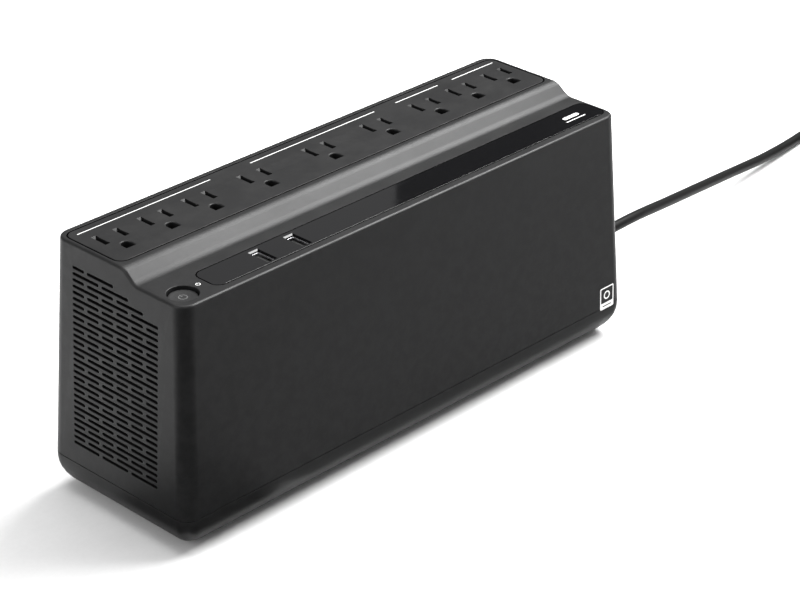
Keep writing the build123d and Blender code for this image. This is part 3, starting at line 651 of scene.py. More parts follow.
def plastic(name, colour, roughness, grain=1500.0, depth=0.02, strength=0.3, wear=0.4, dust=0.02,
            drift=0.12, specular=0.5):
    """A moulded plastic or rubber with grain, rubbed edges and a little dust."""
    material, tree, shader, where = shader_start(name)
    base = group_node(tree, "grain", where, Colour=opaque(colour), Grain_Scale=grain, Drift=drift,
                      Roughness=roughness)
    rubbed = opaque([value * 1.7 + 0.01 for value in colour])
    worn = group_node(tree, "wear", where, Colour=base.outputs["Colour"], Rubbed=rubbed,
                      Roughness=base.outputs["Roughness"], Amount=wear)
    last = group_node(tree, "dust", where, Colour=worn.outputs["Colour"],
                      Roughness=worn.outputs["Roughness"], Amount=dust)
    coat(tree, shader, last)
    shader.inputs["Specular IOR Level"].default_value = specular
    bump(tree, shader, base.outputs["Height"], strength, depth)
    return material


def metal(name, colour, roughness, stretch=(60, 2500, 2500), stain=0.2, strength=0.15):
    """A drawn or plated metal with streaks and slight stains."""
    material, tree, shader, where = shader_start(name)
    streak = group_node(tree, "streak", where, Stretch=stretch, Colour=opaque(colour),
                        Roughness=roughness, Stain=stain)
    coat(tree, shader, streak)
    shader.inputs["Metallic"].default_value = 1.0
    bump(tree, shader, streak.outputs["Height"], strength, 0.01)
    return material


def polished(name, colour, roughness, specular=0.5):
    """A high-gloss plastic with hairlines and smears."""
    material, tree, shader, where = shader_start(name)
    base = group_node(tree, "grain", where, Colour=opaque(colour), Grain_Scale=300.0, Drift=0.05,
                      Roughness=roughness)
    marks = group_node(tree, "hairline", where, Roughness=roughness)
    tree.links.new(base.outputs["Colour"], shader.inputs["Base Color"])
    tree.links.new(marks.outputs["Roughness"], shader.inputs["Roughness"])
    shader.inputs["Specular IOR Level"].default_value = specular
    bump(tree, shader, marks.outputs["Height"], 0.1, 0.005)
    return material


def board_finish(name, colour):
    """Green solder mask with copper tracks showing through it as paler lines."""
    material, tree, shader, where = shader_start(name)
    cells = tree.nodes.new("ShaderNodeTexBrick")
    cells.inputs["Color1"].default_value = opaque(colour)
    cells.inputs["Color2"].default_value = opaque([value * 1.25 for value in colour])
    cells.inputs["Mortar"].default_value = opaque([value * 1.9 + 0.01 for value in colour])
    cells.inputs["Scale"].default_value = 90.0
    cells.inputs["Mortar Size"].default_value = 0.02
    turn = tree.nodes.new("ShaderNodeMapping")
    turn.inputs["Rotation"].default_value = (math.pi / 2, 0, 0)
    tree.links.new(where, turn.inputs["Vector"])
    tree.links.new(turn.outputs["Vector"], cells.inputs["Vector"])
    last = group_node(tree, "dust", where, Colour=cells.outputs["Color"], Roughness=0.32, Amount=0.1)
    coat(tree, shader, last)
    bump(tree, shader, cells.outputs["Fac"], 0.2, 0.03)
    return material


def winding_finish(name, colour):
    """Enamelled wire laid side by side, seen as fine bands."""
    material, tree, shader, where = shader_start(name)
    bands = tree.nodes.new("ShaderNodeTexWave")
    bands.bands_direction = "Z"
    bands.inputs["Scale"].default_value = 420.0
    bands.inputs["Distortion"].default_value = 1.2
    bands.inputs["Detail"].default_value = 2.0
    tree.links.new(where, bands.inputs["Vector"])
    dark = opaque([value * 0.35 for value in colour])
    tint = mixed(tree, bands.outputs["Fac"], dark, opaque(colour))
    last = group_node(tree, "dust", where, Colour=tint, Roughness=0.35, Amount=0.05)
    coat(tree, shader, last)
    shader.inputs["Metallic"].default_value = 0.6
    bump(tree, shader, bands.outputs["Fac"], 0.5, 0.2)
    return material


def glass_finish(name):
    """Clear fuse glass with faint smears."""
    material, tree, shader, where = shader_start(name)
    marks = group_node(tree, "hairline", where, Roughness=0.04)
    tree.links.new(marks.outputs["Roughness"], shader.inputs["Roughness"])
    bump(tree, shader, marks.outputs["Height"], 0.1, 0.005)
    shader.inputs["Base Color"].default_value = (0.85, 0.88, 0.88, 1)
    shader.inputs["Transmission Weight"].default_value = 0.8
    shader.inputs["IOR"].default_value = 1.5
    return material


def webbing_finish(name, colour):
    """Hook and loop strap: a fine over-and-under weave with fuzz."""
    material, tree, shader, where = shader_start(name)
    weave = tree.nodes.new("ShaderNodeTexChecker")
    weave.inputs["Scale"].default_value = 1800.0
    weave.inputs["Color1"].default_value = opaque(colour)
    weave.inputs["Color2"].default_value = opaque([value * 2.2 for value in colour])
    tree.links.new(where, weave.inputs["Vector"])
    fuzz = noise_node(tree, where, 2600.0, 5, 0.7)
    tint = mixed(tree, ranged(tree, fuzz, 0.4, 0.7, 0.0, 0.6), weave.outputs["Color"], (0.07, 0.07, 0.07, 1))
    tree.links.new(tint, shader.inputs["Base Color"])
    shader.inputs["Roughness"].default_value = 0.9
    shader.inputs["Sheen Weight"].default_value = 0.3
    bump(tree, shader, fuzz, 0.8, 0.15)
    return material


MATERIALS = {}


def materials(sizes):
    """One material for each finish of the record, and those that only new pieces use."""
    if MATERIALS:
        return MATERIALS
    body = tuple(sizes.housing_colour)
    gloss = tuple(sizes.strip_colour)
    MATERIALS.update(
        housing_plastic=plastic("housing_plastic", body, sizes.housing_roughness, 1900.0, 0.02, 0.35, 0.35,
                                0.012, 0.14, sizes.housing_specular),
        inlay_gloss=polished("inlay_gloss", gloss, 0.01, 0.31),
        button_plastic=plastic("button_plastic", body, 0.4, 1500.0, 0.015, 0.25, 0.5, 0.012),
        insulator_plastic=plastic("insulator_plastic", (0.006, 0.006, 0.006), 0.6, 1200.0, wear=0.2),
        contact_brass=metal("contact_brass", (0.72, 0.55, 0.28), 0.28),
        plated_steel=metal("plated_steel", (0.62, 0.62, 0.64), 0.22),
        plug_metal=metal("plug_metal", (0.72, 0.69, 0.62), 0.25, (60, 2200, 2200)),
        circuit_board=board_finish("circuit_board", (0.02, 0.12, 0.05)),
        spring_steel=metal("spring_steel", (0.58, 0.58, 0.58), 0.3),
        switch_plastic=plastic("switch_plastic", (0.04, 0.04, 0.04), 0.5),
        lamination_steel=metal("lamination_steel", (0.25, 0.24, 0.23), 0.45, (40, 2600, 40), 0.4, 0.5),
        winding_copper=winding_finish("winding_copper", (0.7, 0.33, 0.1)),
        heat_sink_aluminium=metal("heat_sink_aluminium", (0.6, 0.61, 0.62), 0.35, (2400, 2400, 40), 0.15),
        transistor_black=plastic("transistor_black", (0.015, 0.015, 0.015), 0.55),
        capacitor_film=plastic("capacitor_film", (0.65, 0.42, 0.04), 0.3, 500.0, strength=0.1),
        capacitor_sleeve=plastic("capacitor_sleeve", (0.02, 0.03, 0.09), 0.25, 500.0, strength=0.1),
        choke_green=winding_finish("choke_green", (0.12, 0.3, 0.16)),
        fuse_glass=glass_finish("fuse_glass"),
        varistor_blue=plastic("varistor_blue", (0.03, 0.12, 0.4), 0.35, 600.0, strength=0.4),
        battery_plastic=plastic("battery_plastic", (0.035, 0.036, 0.038), 0.5, 900.0, 0.04, 0.4, 0.5),
        battery_lead=metal("battery_lead", (0.28, 0.28, 0.3), 0.5, (900, 30, 30), 0.4, 0.6),
        lead_red=plastic("lead_red", (0.45, 0.02, 0.02), 0.35, 900.0, strength=0.15),
        lead_grey=plastic("lead_grey", (0.16, 0.16, 0.16), 0.35, 900.0, strength=0.15),
        cord_jacket=plastic("cord_jacket", (0.004, 0.004, 0.004), 0.45, 1100.0, 0.03, 0.3, 0.1, 0.005,
                            0.1, 0.14),
        moulded_black=plastic("moulded_black", (0.012, 0.012, 0.012), 0.45, 1100.0, 0.03, 0.35, 0.4),
        tie_strap=webbing_finish("tie_strap", (0.012, 0.012, 0.012)),
        foot_rubber=plastic("foot_rubber", (0.03, 0.03, 0.03), 0.75, 900.0, 0.05, 0.6, 0.2, 0.2),
        white_print=plastic("white_print", (0.78, 0.78, 0.77), 0.5, 2600.0, 0.01, 0.3, 0.0, 0.0, 0.05),
        grey_print=plastic("grey_print", (0.1, 0.1, 0.1), 0.5, 2600.0, 0.01, 0.3, 0.0, 0.0, 0.05),
        # painted shade: a near-black, unreflecting finish for the rings that darken the seams round the plate
        # and the strip
        gap_black=plastic("gap_black", (0.002, 0.002, 0.002), 0.9, 1200.0, 0.01, 0.2, 0.0, 0.0, 0.1, 0.0),
        red_print=plastic("red_print", (0.5, 0.03, 0.02), 0.4, 1200.0, 0.01, 0.2, 0.0),
    )
    return MATERIALS


# --- pieces ---------------------------------------------------------------------------
def housing_block(name, inset, bottom):
    """The drafted, stepped form of the housing at an inset, without its rounded rim."""
    low, high = LOW_TOP - inset, HIGH_TOP - inset
    shift = inset * math.tan(STEP_ANGLE / 2)
    crest_y, foot_y = STEP_CREST_Y + shift, STEP_FOOT_Y + shift
    half_x, half_y = end_x(bottom) - inset, side_y(bottom) - inset
    obj = block(name, about(0, half_x), about(0, half_y), (bottom, high))
    edit(obj, "VERT")
    for y in (crest_y, foot_y):
        bpy.ops.mesh.select_all(action="SELECT")
        bpy.ops.mesh.bisect(plane_co=(0, y * MM, 0), plane_no=(0, 1, 0))
    pick(obj, "verts", lambda v: v.co.z > (high - 1) * MM and v.co.y < (foot_y + 0.1) * MM)
    bpy.ops.transform.translate(value=(0, 0, (low - high) * MM))
    for z in (low, high):
        pick(obj, "verts", lambda v: abs(v.co.z - z * MM) < 0.01 * MM)
        share = (end_x(z) - inset) / half_x
        bpy.ops.transform.resize(value=(share, 1, 1), center_override=(0, 0, 0))
    pick(obj, "verts", lambda v: abs(v.co.z - low * MM) < 0.01 * MM and v.co.y < -30 * MM)
    bpy.ops.transform.translate(value=(0, (side_y(bottom) - side_y(low)) * MM, 0))
    pick(obj, "verts", lambda v: abs(v.co.z - high * MM) < 0.01 * MM and v.co.y > 30 * MM)
    bpy.ops.transform.translate(value=(0, -(side_y(bottom) - side_y(high)) * MM, 0))
    bpy.ops.mesh.select_mode(type="EDGE")
    pick(obj, "edges", lambda e: abs(middle(e).y) < 30 and abs(e.verts[0].co.z - e.verts[1].co.z) > 90 * MM)
    bpy.ops.mesh.dissolve_edges(use_verts=False, use_face_split=False)
    pick(obj, "edges", lambda e: abs(middle(e).y) < 30 and along(e, 0) and middle(e).z < bottom + 1)
    bpy.ops.mesh.dissolve_edges(use_verts=False, use_face_split=False)
    pick(obj, "edges", lambda e: abs(e.verts[0].co.z - e.verts[1].co.z) > 90 * MM)
    bevel(CORNER - inset, 8)
    blend = STEP_BLEND * math.tan(STEP_ANGLE / 2)
    for y, radius in ((crest_y, STEP_BLEND - inset), (foot_y, STEP_BLEND + inset)):
        pick(obj, "edges", lambda e: along(e, 0) and abs(middle(e).y - y) < 0.1 and middle(e).z > low - 1)
        bevel(radius * blend / STEP_BLEND, 8)
    finish_edit()
    return obj


def vent_cutter():
    """Staggered slots for the -X end, made lying flat and then turned onto it."""
    low, high = VENT_Y
    gap, height, rows = 2.4, 1.5, 30
    long = (high - low - 2 * gap) / 3
    short = (high - low - 2 * long - 3 * gap) / 2
    made, slots = {}, []
    for size in (long, short):
        half = size / 2
        across = (-height / 2, height / 2)
        made[size] = hole_cutter("slot", across, about(0, half), 0, -9, height * 0.49, 0.2, 3)
    for row in range(rows):
        z = SEAM_Z + VENT_FIRST + row * VENT_PITCH
        from_top = rows - 1 - row
        sizes = [long, long, long] if from_top % 2 else [short, long, long, short]
        limit = high - long - short - gap - 2 - 11.4 * from_top
        edge = high
        for size in sizes:
            if edge - size > limit:
                slots.append(copied(made[size], (up_end(z, -1), edge - size / 2, 0)))
            edge = edge - size - gap
    for source in made.values():
        bpy.data.objects.remove(source, do_unlink=True)
    return on_end(joined("vent_slots", slots), -1)


def usb_spans(x, grow):
    """The width and depth of a USB socket at x, grown by an amount each way."""
    return about(x, USB_SIZE[0] / 2 + grow), about(USB_Y, USB_SIZE[1] / 2 + grow)


def housing_openings(shell):
    """Cuts the panel opening, the strip's pocket, the USB holes, the well, the vents and the end's holes."""
    gap, fit = PANEL_GAP, STRIP_GAP
    panel_x, panel_y = about(0, PANEL_HALF_LENGTH + gap), wider(PANEL_Y, gap)
    combine(shell, hole_cutter("panel_hole", panel_x, panel_y, HIGH_TOP, HIGH_TOP - 4, 5.0 + gap, 0.12, 8))
    inlay_x, inlay_y = wider(INLAY_X, fit), wider(INLAY_Y, fit)
    combine(shell, hole_cutter("strip_pocket", inlay_x, inlay_y, LOW_TOP, LOW_TOP - 1.2, 5.0 + fit, 0.1, 8))
    usb_z = (LOW_TOP - 5, LOW_TOP - 0.5)
    combine(shell, joined("usb_holes", [block("usb_hole", *usb_spans(x, fit), usb_z) for x in USB_X]))
    x, y = BUTTON_AT
    well_x, well_y = about(x, WELL_R), about(y, WELL_R)
    combine(shell, hole_cutter("well", well_x, well_y, LOW_TOP, LOW_TOP - 6, WELL_R * 0.999, 0.5, 14))
    combine(shell, vent_cutter())
    end_holes = [round_end_hole(CORD_AT, 6.2), round_end_hole(BREAKER_AT, BREAKER_HOLE)]
    across = about(PORT_AT[0], 8.0)
    port_x = sorted((up_end(PORT_AT[1] + 6.8, 1), up_end(PORT_AT[1] - 6.8, 1)))
    end_holes.append(hole_cutter("port_hole", port_x, across, 0, -6, 0.5, 0.3, 3))
    combine(shell, on_end(joined("end_holes", end_holes), 1))


def wall_bar(name, at, half, wall_x, wall_y, z):
    """A bar from a post to its wall: the end wall for outer posts, the side wall for middle ones."""
    x, y = at
    if abs(x) > END_POST_X:
        return block(name, sorted((x, math.copysign(wall_x, x))), about(y, half), z)
    return block(name, about(x, half), sorted((y, math.copysign(wall_y, y))), z)


def housing_posts(shell):
    """Adds the button's guide, and the screw posts with a rib from each to the wall."""
    guide = rod("guide", WELL_R + 2.2, LOW_TOP - 15, LOW_TOP - 2.0, BUTTON_AT, sides=64)
    combine(guide, rod("bore", WELL_R + 0.12, LOW_TOP - 13, LOW_TOP, BUTTON_AT, sides=64))
    combine(guide, rod("stem_hole", 3.2, LOW_TOP - 16, LOW_TOP - 12, BUTTON_AT, sides=32))
    combine(shell, guide, "UNION")
    posts = []
    for at in TOWERS:
        post = rod("post", 4.5, 13.0, 40.0, at, sides=32)
        combine(post, wall_bar("rib", at, 1, end_x(38) - 1.2, side_y(38) - 1.2, (26, 38)), "UNION")
        posts.append(combine(post, rod("bore", 1.5, 12.0, 30.0, at, sides=20)))
    combine(shell, joined("posts", posts), "UNION")


def housing_casing(sizes):
    """The upper casing with its openings."""
    shell = housing_block("housing_casing", 0.0, SEAM_Z)
    edit(shell)
    pick(
        shell,
        "edges",
        lambda e: len(e.link_faces) == 2
        and max(f.normal.z for f in e.link_faces) > 0.5
        and min(abs(f.normal.z) for f in e.link_faces) < 0.3,
    )
    bevel(sizes.rim_radius / MM, 4)
    finish_edit()
    round_at(shell, 2, SEAM_Z, 0.3, 2)
    housing_openings(shell)
    combine(shell, housing_block("housing_inside", HOUSING_WALL, SEAM_Z - 1.0))
    housing_posts(shell)
    return smoothed(shell)


def round_end_hole(at, radius):
    middle_x = up_end(at[1], 1)
    x, y = about(middle_x, radius), about(at[0], radius)
    return hole_cutter("end_hole", x, y, 0, -6, radius * 0.999, 0.3, 10)


def base_form(name, inset, floor, top):
    """The rounded form of the base: rings that draw in by a quarter circle."""
    turn_r, turn_z = 17.3, FLOOR_GAP + 17.3
    half_x, half_y = HALF_LENGTH - inset, HALF_WIDTH - inset
    obj = plate(name, about(0, half_x), about(0, half_y), (turn_z, top), CORNER - inset / 2, 8)
    edit(obj, "FACE")
    pick(obj, "faces", lambda f: f.normal.z < -0.9)
    lowest = math.asin((turn_z - floor) / turn_r)
    z, drawn = turn_z, 0.0
    rings = 9
    for ring in range(1, rings + 1):
        angle = lowest * ring / rings
        next_z, next_drawn = turn_z - turn_r * math.sin(angle), turn_r * (1 - math.cos(angle))
        bpy.ops.mesh.extrude_region_move(TRANSFORM_OT_translate={"value": (0, 0, (next_z - z) * MM)})
        share_x = (half_x - next_drawn) / (half_x - drawn)
        share_y = (half_y - next_drawn) / (half_y - drawn)
        bpy.ops.transform.resize(value=(share_x, share_y, 1), center_override=(0, 0, 0))
        z, drawn = next_z, next_drawn
    finish_edit()
    return obj


def base_casing():
    """The lower casing with the battery bay, towers, feet recesses and keyholes."""
    top = SEAM_Z - 0.25
    tray = base_form("base_casing", 0.0, FLOOR_GAP, top)
    round_at(tray, 2, top, 0.3, 2)
    combine(tray, base_form("base_inside", BASE_WALL, BASE_FLOOR_TOP, top + 2))
    lip = plate("lip", about(0, 159.25), about(0, 48.35), (SEAM_Z - 5, SEAM_Z + 3), CORNER - 2.5)
    inner_z = (SEAM_Z - 6, SEAM_Z + 4)
    combine(lip, plate("lip_inside", about(0, 158.05), about(0, 47.15), inner_z, CORNER - 3.7))
    gate_z = (SEAM_Z, SEAM_Z + 9)
    gates = [block("gate", (150, 166), about(CORD_AT[0], 9), gate_z)]
    gates += [wall_bar("gate", at, 6, 166, 54, gate_z) for at in TOWERS]
    combine(lip, joined("gates", gates))
    combine(tray, lip, "UNION")
    bay_half = BAY_HALF_Y
    collar = block("collar", wider(BAY_X, 2), (-bay_half - 2, bay_half + 2), (BASE_FLOOR_TOP - 1, 40))
    round_along(collar, 2, 1.5, 3)
    combine(tray, collar, "UNION")
    towers = [rod("tower", 6.0, BASE_FLOOR_TOP - 1.5, 13.0, at, sides=40) for at in TOWERS]
    for side in (-1, 1):
        at = (TRANSFORMER_AT[0] + side * TRANSFORMER_POST, TRANSFORMER_AT[1])
        towers.append(rod("tower", 4.5, BASE_FLOOR_TOP - 0.5, 10.5, at, sides=32))
    kept = joined("towers", towers)
    combine(kept, base_form("tower_limit", 1.0, FLOOR_GAP + 1, top + 2), "INTERSECT")
    combine(tray, kept, "UNION")
    combine(tray, block("bay", BAY_X, about(0, bay_half), (-1, 41)))
    rebate_x, rebate_y = wider(BAY_X, 3), (-bay_half - 1.4, bay_half + 1.4)
    combine(tray, block("rebate", rebate_x, rebate_y, (-1, FLOOR_GAP + 2.4)))
    for name, radius, low, high, spots, sides in (
        ("counterbores", 4.0, -1, 10.0, TOWERS, 36),
        ("screw_holes", 1.8, 9, 14, TOWERS, 24),
        ("feet_recesses", 6.2, -1, FLOOR_GAP + 1.2, FEET, 40),
    ):
        combine(tray, joined(name, [rod("bore", radius, low, high, at, sides=sides) for at in spots]))
    keyholes = []
    for x in about(0, KEYHOLE_X):
        hole = rod("keyhole", KEYHOLE_R, -1, 7, (x, 0), sides=40)
        end = rod("keyhole_end", KEYHOLE_NECK, -1, 7, (x, -KEYHOLE_REACH), sides=32)
        combine(end, block("neck", about(x, KEYHOLE_NECK), (-KEYHOLE_REACH, 0), (-1, 7)), "UNION")
        keyholes.append(combine(hole, end, "UNION"))
    combine(tray, joined("keyholes", keyholes))
    return smoothed(cleaned(tray))


def bay_cover():
    """The cover under the battery with its ridged thumb grip."""
    low, plate_top = FLOOR_GAP + 0.1, FLOOR_GAP + 2.1
    x, y = wider(BAY_X, 2.7), (-BAY_HALF_Y - 1.1, BAY_HALF_Y + 1.1)
    cover = plate("bay_cover", x, y, (low, plate_top), 2, 5)
    round_at(cover, 2, low, 0.4, 3)
    pad = block("pad", wider(BAY_X, -0.3), (-BAY_HALF_Y + 0.3, BAY_HALF_Y - 0.3), (plate_top - 0.1, 5.0))
    round_along(pad, 2, 1.0, 3)
    combine(cover, pad, "UNION")
    dish = block("dish", (96, 118), (-14, 14), (-1, low + 0.5))
    round_along(dish, 2, 4, 6)
    combine(cover, dish)
    grooves = []
    for step in range(5):
        left = BAY_X[1] - 22 + 3.5 * step
        groove = plate("groove", (left, left + 1.8), (-12, 12), (low, low + 1.1), 0.85, 4)
        grooves.append(groove)
    combine(cover, joined("grooves", grooves))
    return smoothed(cleaned(cover))


def ramp(name, half_x, y, reach):
    """A cutter for a lead-in slope at the end of a hole: a bar turned by an eighth."""
    across = about(0, reach * math.sqrt(2) / 2)
    bar = block(name, about(0, half_x), across, across)
    bar.rotation_euler = (math.pi / 4, 0, 0)
    bar.location = (0, y * MM, HIGH_TOP * MM)
    return fixed(bar)


def blade_and_pin_cutters():
    """Cutters for the three holes of each of the nine outlets."""
    top, bottom = HIGH_TOP, HIGH_TOP - 6
    half_wide, lead_in = 1.25, 1.25
    sources = []
    for centre, half_long in ((-SLOT_OFFSET, 4.25), (SLOT_OFFSET, 3.55)):
        x, y = about(0, half_wide), about(SLOT_Y, half_long)
        slot = hole_cutter("slot", x, y, top, bottom, 0.25, 0.3, 2)
        for end in y:
            combine(slot, ramp("ramp", half_wide + 0.25, end, lead_in), "UNION")
        sources += spread(slot, [(centre, 0, 0)])
    x, y = (-2.8, 2.8), (10.2, 16.4)
    sources.append(hole_cutter("ground", x, y, top, bottom, 2.75, 0.75, 10, lambda spot: spot.y > GROUND_Y))
    cutters = []
    for source in sources:
        cutters += spread(source, [(x, 0, 0) for x in OUTLET_X])
    return joined("outlet_holes", cutters)


def outlet_plate():
    """The plate with nine outlets, sunk into the top of the housing."""
    x = about(0, PANEL_HALF_LENGTH)
    panel = plate("outlet_plate", x, PANEL_Y, (HIGH_TOP - 4.2, HIGH_TOP), 5.0, 8)
    round_at(panel, 2, HIGH_TOP, 0.2, 3)
    flange_y = (PANEL_Y[0] - 1.8, PANEL_Y[1] + 1.6)
    flange = plate("flange", wider(x, 0.25), flange_y, (HIGH_TOP - 4.2, HIGH_TOP - 2.55), 6.0, 8)
    combine(panel, flange, "UNION")
    combine(panel, blade_and_pin_cutters())
    return smoothed(cleaned(panel))


def gap_shade_ring(name, x, y, corner, width, z):
    """A thin black ring that fills the gap round a plate: painted shade that keeps the seam dark."""
    ring = plate(name, wider(x, width), wider(y, width), z, corner + width, 8)
    inner_z = wider(z, 1)
    combine(ring, plate("inside", x, y, inner_z, corner, 8))
    return smoothed(ring)


def print_bar(name, x, y, low, high):
    """A flat printed bar with rounded ends."""
    return plate(name, x, y, (low, high), min(x[1] - x[0], y[1] - y[0]) * 0.49, 4)


def printed_lines():
    """The white line along the outlets, in the runs that group them."""
    runs = ((-147.4, -61.4), (-34.1, 55.7), (71.9, 104.6), (115.8, 148.6))
    bars = [print_bar("line", run, (37.5, 38.1), HIGH_TOP - 0.03, HIGH_TOP + 0.03) for run in runs]
    return smoothed(joined("printed_lines", bars))


def power_mark(name, at, radius, width, z):
    """An open ring with a bar: the general sign for power."""
    mark = rod(name, radius, *z, at, sides=48)
    combine(mark, rod("inside", radius - width, z[0] - 1, z[1] + 1, at, sides=48))
    gap = width * 1.6
    combine(mark, block("gap", about(at[0], gap), (at[1], at[1] + radius + 1), wider(z, 1)))
    half = width / 2
    bar = block("bar", about(at[0], half), (at[1] + radius * 0.15, at[1] + radius * 1.15), z)
    return smoothed(cleaned(joined(name, [mark, bar])))


def generic_marks():
    """Plain printed marks: a bar and a rule on the strip."""
    z = (LOW_TOP - 0.02, LOW_TOP + 0.04)
    bar = print_bar("strip_marks", (128.5, 140.5), (-33.2, -30.6), *z)
    rule = print_bar("rule", (127.0, 142.0), (-36.0, -35.3), *z)
    return smoothed(joined("strip_marks", [bar, rule]))


def front_mark():
    """A small framed dot near the foot of the plain front."""
    frame_outer = plate("front_mark", (-5.6, 5.6), (-6.6, 6.6), (-0.03, 0.05), 0.9, 4)
    combine(frame_outer, plate("inside", (-4.9, 4.9), (-2.9, 5.9), (-1, 1), 0.5, 4))
    combine(frame_outer, print_bar("slit", (-3.6, 3.6), (-5.1, -4.4), -1, 1))
    dot = rod("dot", 2.5, -0.03, 0.05, (0, 1.5), sides=40)
    combine(dot, rod("dot_inside", 1.7, -1, 1, (0, 1.5), sides=40))
    mark = joined("front_mark", [frame_outer, dot])
    lean = math.atan(SIDE_DRAFT)
    z = 26.5
    mark.rotation_euler = (math.pi / 2 - lean, 0, 0)
    mark.location = (148.0 * MM, -side_y(z) * MM, z * MM)
    fixed(mark)
    return smoothed(mark)


def gloss_strip():
    """The glossy strip with its two USB openings."""
    strip = plate("gloss_strip", INLAY_X, INLAY_Y, (LOW_TOP - INLAY_THICK, LOW_TOP), 5.0, 8)
    round_at(strip, 2, LOW_TOP, 0.12, 3)
    for x in USB_X:
        across, deep = usb_spans(x, 0.1)
        combine(strip, hole_cutter("usb_hole", across, deep, LOW_TOP, LOW_TOP - 3, 0.3, 0.1, 4))
        flare = ramp("flare", USB_SIZE[0] / 2 + 0.1, 0, 0.75)
        flare.location = (x * MM, deep[1] * MM, (LOW_TOP - HIGH_TOP) * MM)
        take(flare)
        bpy.ops.object.transform_apply(location=True, rotation=False, scale=False)
        combine(strip, flare)
    return smoothed(cleaned(strip))


def usb_socket(number, x):
    """One folded metal shell with spring windows, open at the top."""
    across, deep = usb_spans(x, 0)
    low, high = USB_LOW, LOW_TOP - 1.5
    shell = plate(f"usb_socket_{number}", across, deep, (low, high), 0.7, 4)
    inner_x, inner_y = wider(across, -USB_WALL), wider(deep, -USB_WALL)
    combine(shell, hole_cutter("inside", inner_x, inner_y, high, low - 1, 0.4, 0.12, 4))
    for y in about(USB_Y, 3.2):
        combine(shell, plate("window", about(x, 5), about(y, 1), (high - 7.5, high - 2.5), 0.5, 3))
    return smoothed(cleaned(shell))


def usb_tongue(x):
    """The insulator in the bottom of a socket, with its tongue."""
    low = USB_LOW
    foot = block("foot", *usb_spans(x, -0.4), (low, low + 2.5))
    tip = LOW_TOP - 2.6
    tongue = block("tongue", (x + 0.1, x + 1.94), about(USB_Y, 5.6), (low + 2.3, tip))
    round_at(tongue, 2, tip, 0.4, 2)
    return combine(foot, tongue, "UNION")


def usb_tongues():
    return smoothed(cleaned(joined("usb_tongue_pair", [usb_tongue(x) for x in USB_X])))


def usb_contacts():
    """Four gold contact strips on each tongue."""
    bars = []
    for x in USB_X:
        for step in range(4):
            y = USB_Y - 3.5 + step * 2.33
            bar = plate("contact", (x - 0.08, x + 0.16), about(y, 0.5), (LOW_TOP - 11, LOW_TOP - 3.4), 0.1, 2)
            bars.append(bar)
    return smoothed(joined("usb_contacts", bars))


def power_key():
    """The round button: a dished cap with a skirt and a stem."""
    top = LOW_TOP - KEY_SUNK
    cap = rod("power_key", BUTTON_R, top - 8, top, BUTTON_AT, sides=96)
    round_at(cap, 2, top, 0.6, 4)
    edit(cap, "FACE")
    pick(cap, "faces", lambda f: f.normal.z > 0.95 and abs(f.calc_center_median().z - top * MM) < 0.01 * MM)
    reach = BUTTON_R - 0.6
    drop = 0.0
    rings = 7
    for ring in range(1, rings + 1):
        bpy.ops.mesh.inset(thickness=reach / (rings + 0.5) * MM, depth=0, use_even_offset=True)
        inside = reach * (1 - ring / (rings + 0.5))
        target = 0.35 * (1 - (inside / reach) ** 2)
        bpy.ops.transform.translate(value=(0, 0, -(target - drop) * MM))
        drop = target
    finish_edit()
    combine(cap, rod("hollow", BUTTON_R - 1.4, top - 9, LOW_TOP - 4.3, BUTTON_AT, sides=64))
    combine(cap, rod("stem", 2.5, LOW_TOP - 15.3, LOW_TOP - 3.8, BUTTON_AT, sides=32), "UNION")
    return smoothed(cleaned(cap))


def foot_pads():
    """Four soft pads with a rounded edge and a shallow dish."""
    profile = [(FLOOR_GAP + 1.15, 6.0), (0.6, 6.0), (0.25, 5.85), (0.05, 5.5), (0.0, 5.0), (0.0, 4.0)]
    pad = turned("pad", (0, 0), profile + [(0.25, 3.4)], sides=40)
    return smoothed(joined("foot_pads", spread(pad, [(x, y, 0) for x, y in FEET])))


def casing_screws():
    """Six pan-head screws with a cross recess, seen from below."""
    shaft = [(26.0, 0.6), (24.5, 1.45), (10.0, 1.5)]
    head = turned("screw", (0, 0), shaft + [(10.0, 3.5), (8.6, 3.5), (7.9, 3.1), (7.6, 2.3)], sides=36)
    for half_x, half_y in ((0.45, 1.9), (1.9, 0.45)):
        combine(head, block("recess", about(0, half_x), about(0, half_y), (7, 8.9)))
    cleaned(head)
    return smoothed(joined("casing_screws", spread(head, [(x, y, 0) for x, y in TOWERS])))


def breaker_neck():
    """The threaded neck of the breaker, through the end wall."""
    y, z = BREAKER_AT
    profile = [(131.0, 4.0), (148.0, 4.0), (148.0, 4.45)]
    start = 157.0
    for step in range(6):
        x = start + step * 0.62
        profile += [(x, 4.2), (x + 0.31, 4.5)]
    profile += [(160.9, 4.2)]
    neck = turned("breaker_neck", (y, z), profile, "X", 48)
    case = block("case", (127, end_x(z + 7) - 2.6), about(y, 6), about(z, 7))
    edit(case)
    bpy.ops.mesh.select_all(action="SELECT")
    bevel(0.6, 2)
    finish_edit()
    combine(neck, case, "UNION")
    combine(neck, rod("bore", 2.9, 146, 165, (y, z), "X", 48))
    return smoothed(cleaned(neck))


def breaker_nut():
    """The hexagon nut that holds the breaker, its corners turned down."""
    y, z = BREAKER_AT
    nothing_selected()
    bpy.ops.mesh.primitive_cylinder_add(
        vertices=6,
        radius=NUT_HALF_WIDTH / math.cos(math.pi / 6) * MM,
        depth=NUT_THICK * MM,
        location=(NUT_X * MM, y * MM, z * MM),
        rotation=(0, math.pi / 2, 0),
    )
    nut = settled("breaker_ring")
    limit = turned("limit", (y, z), ((160.3, 9.0), (161.2, 8.0), (161.56, 7.3)), "X", 64)
    combine(nut, limit, "INTERSECT")
    combine(nut, rod("bore", 4.52, 155, 165, (y, z), "X", 48))
    return smoothed(cleaned(nut))


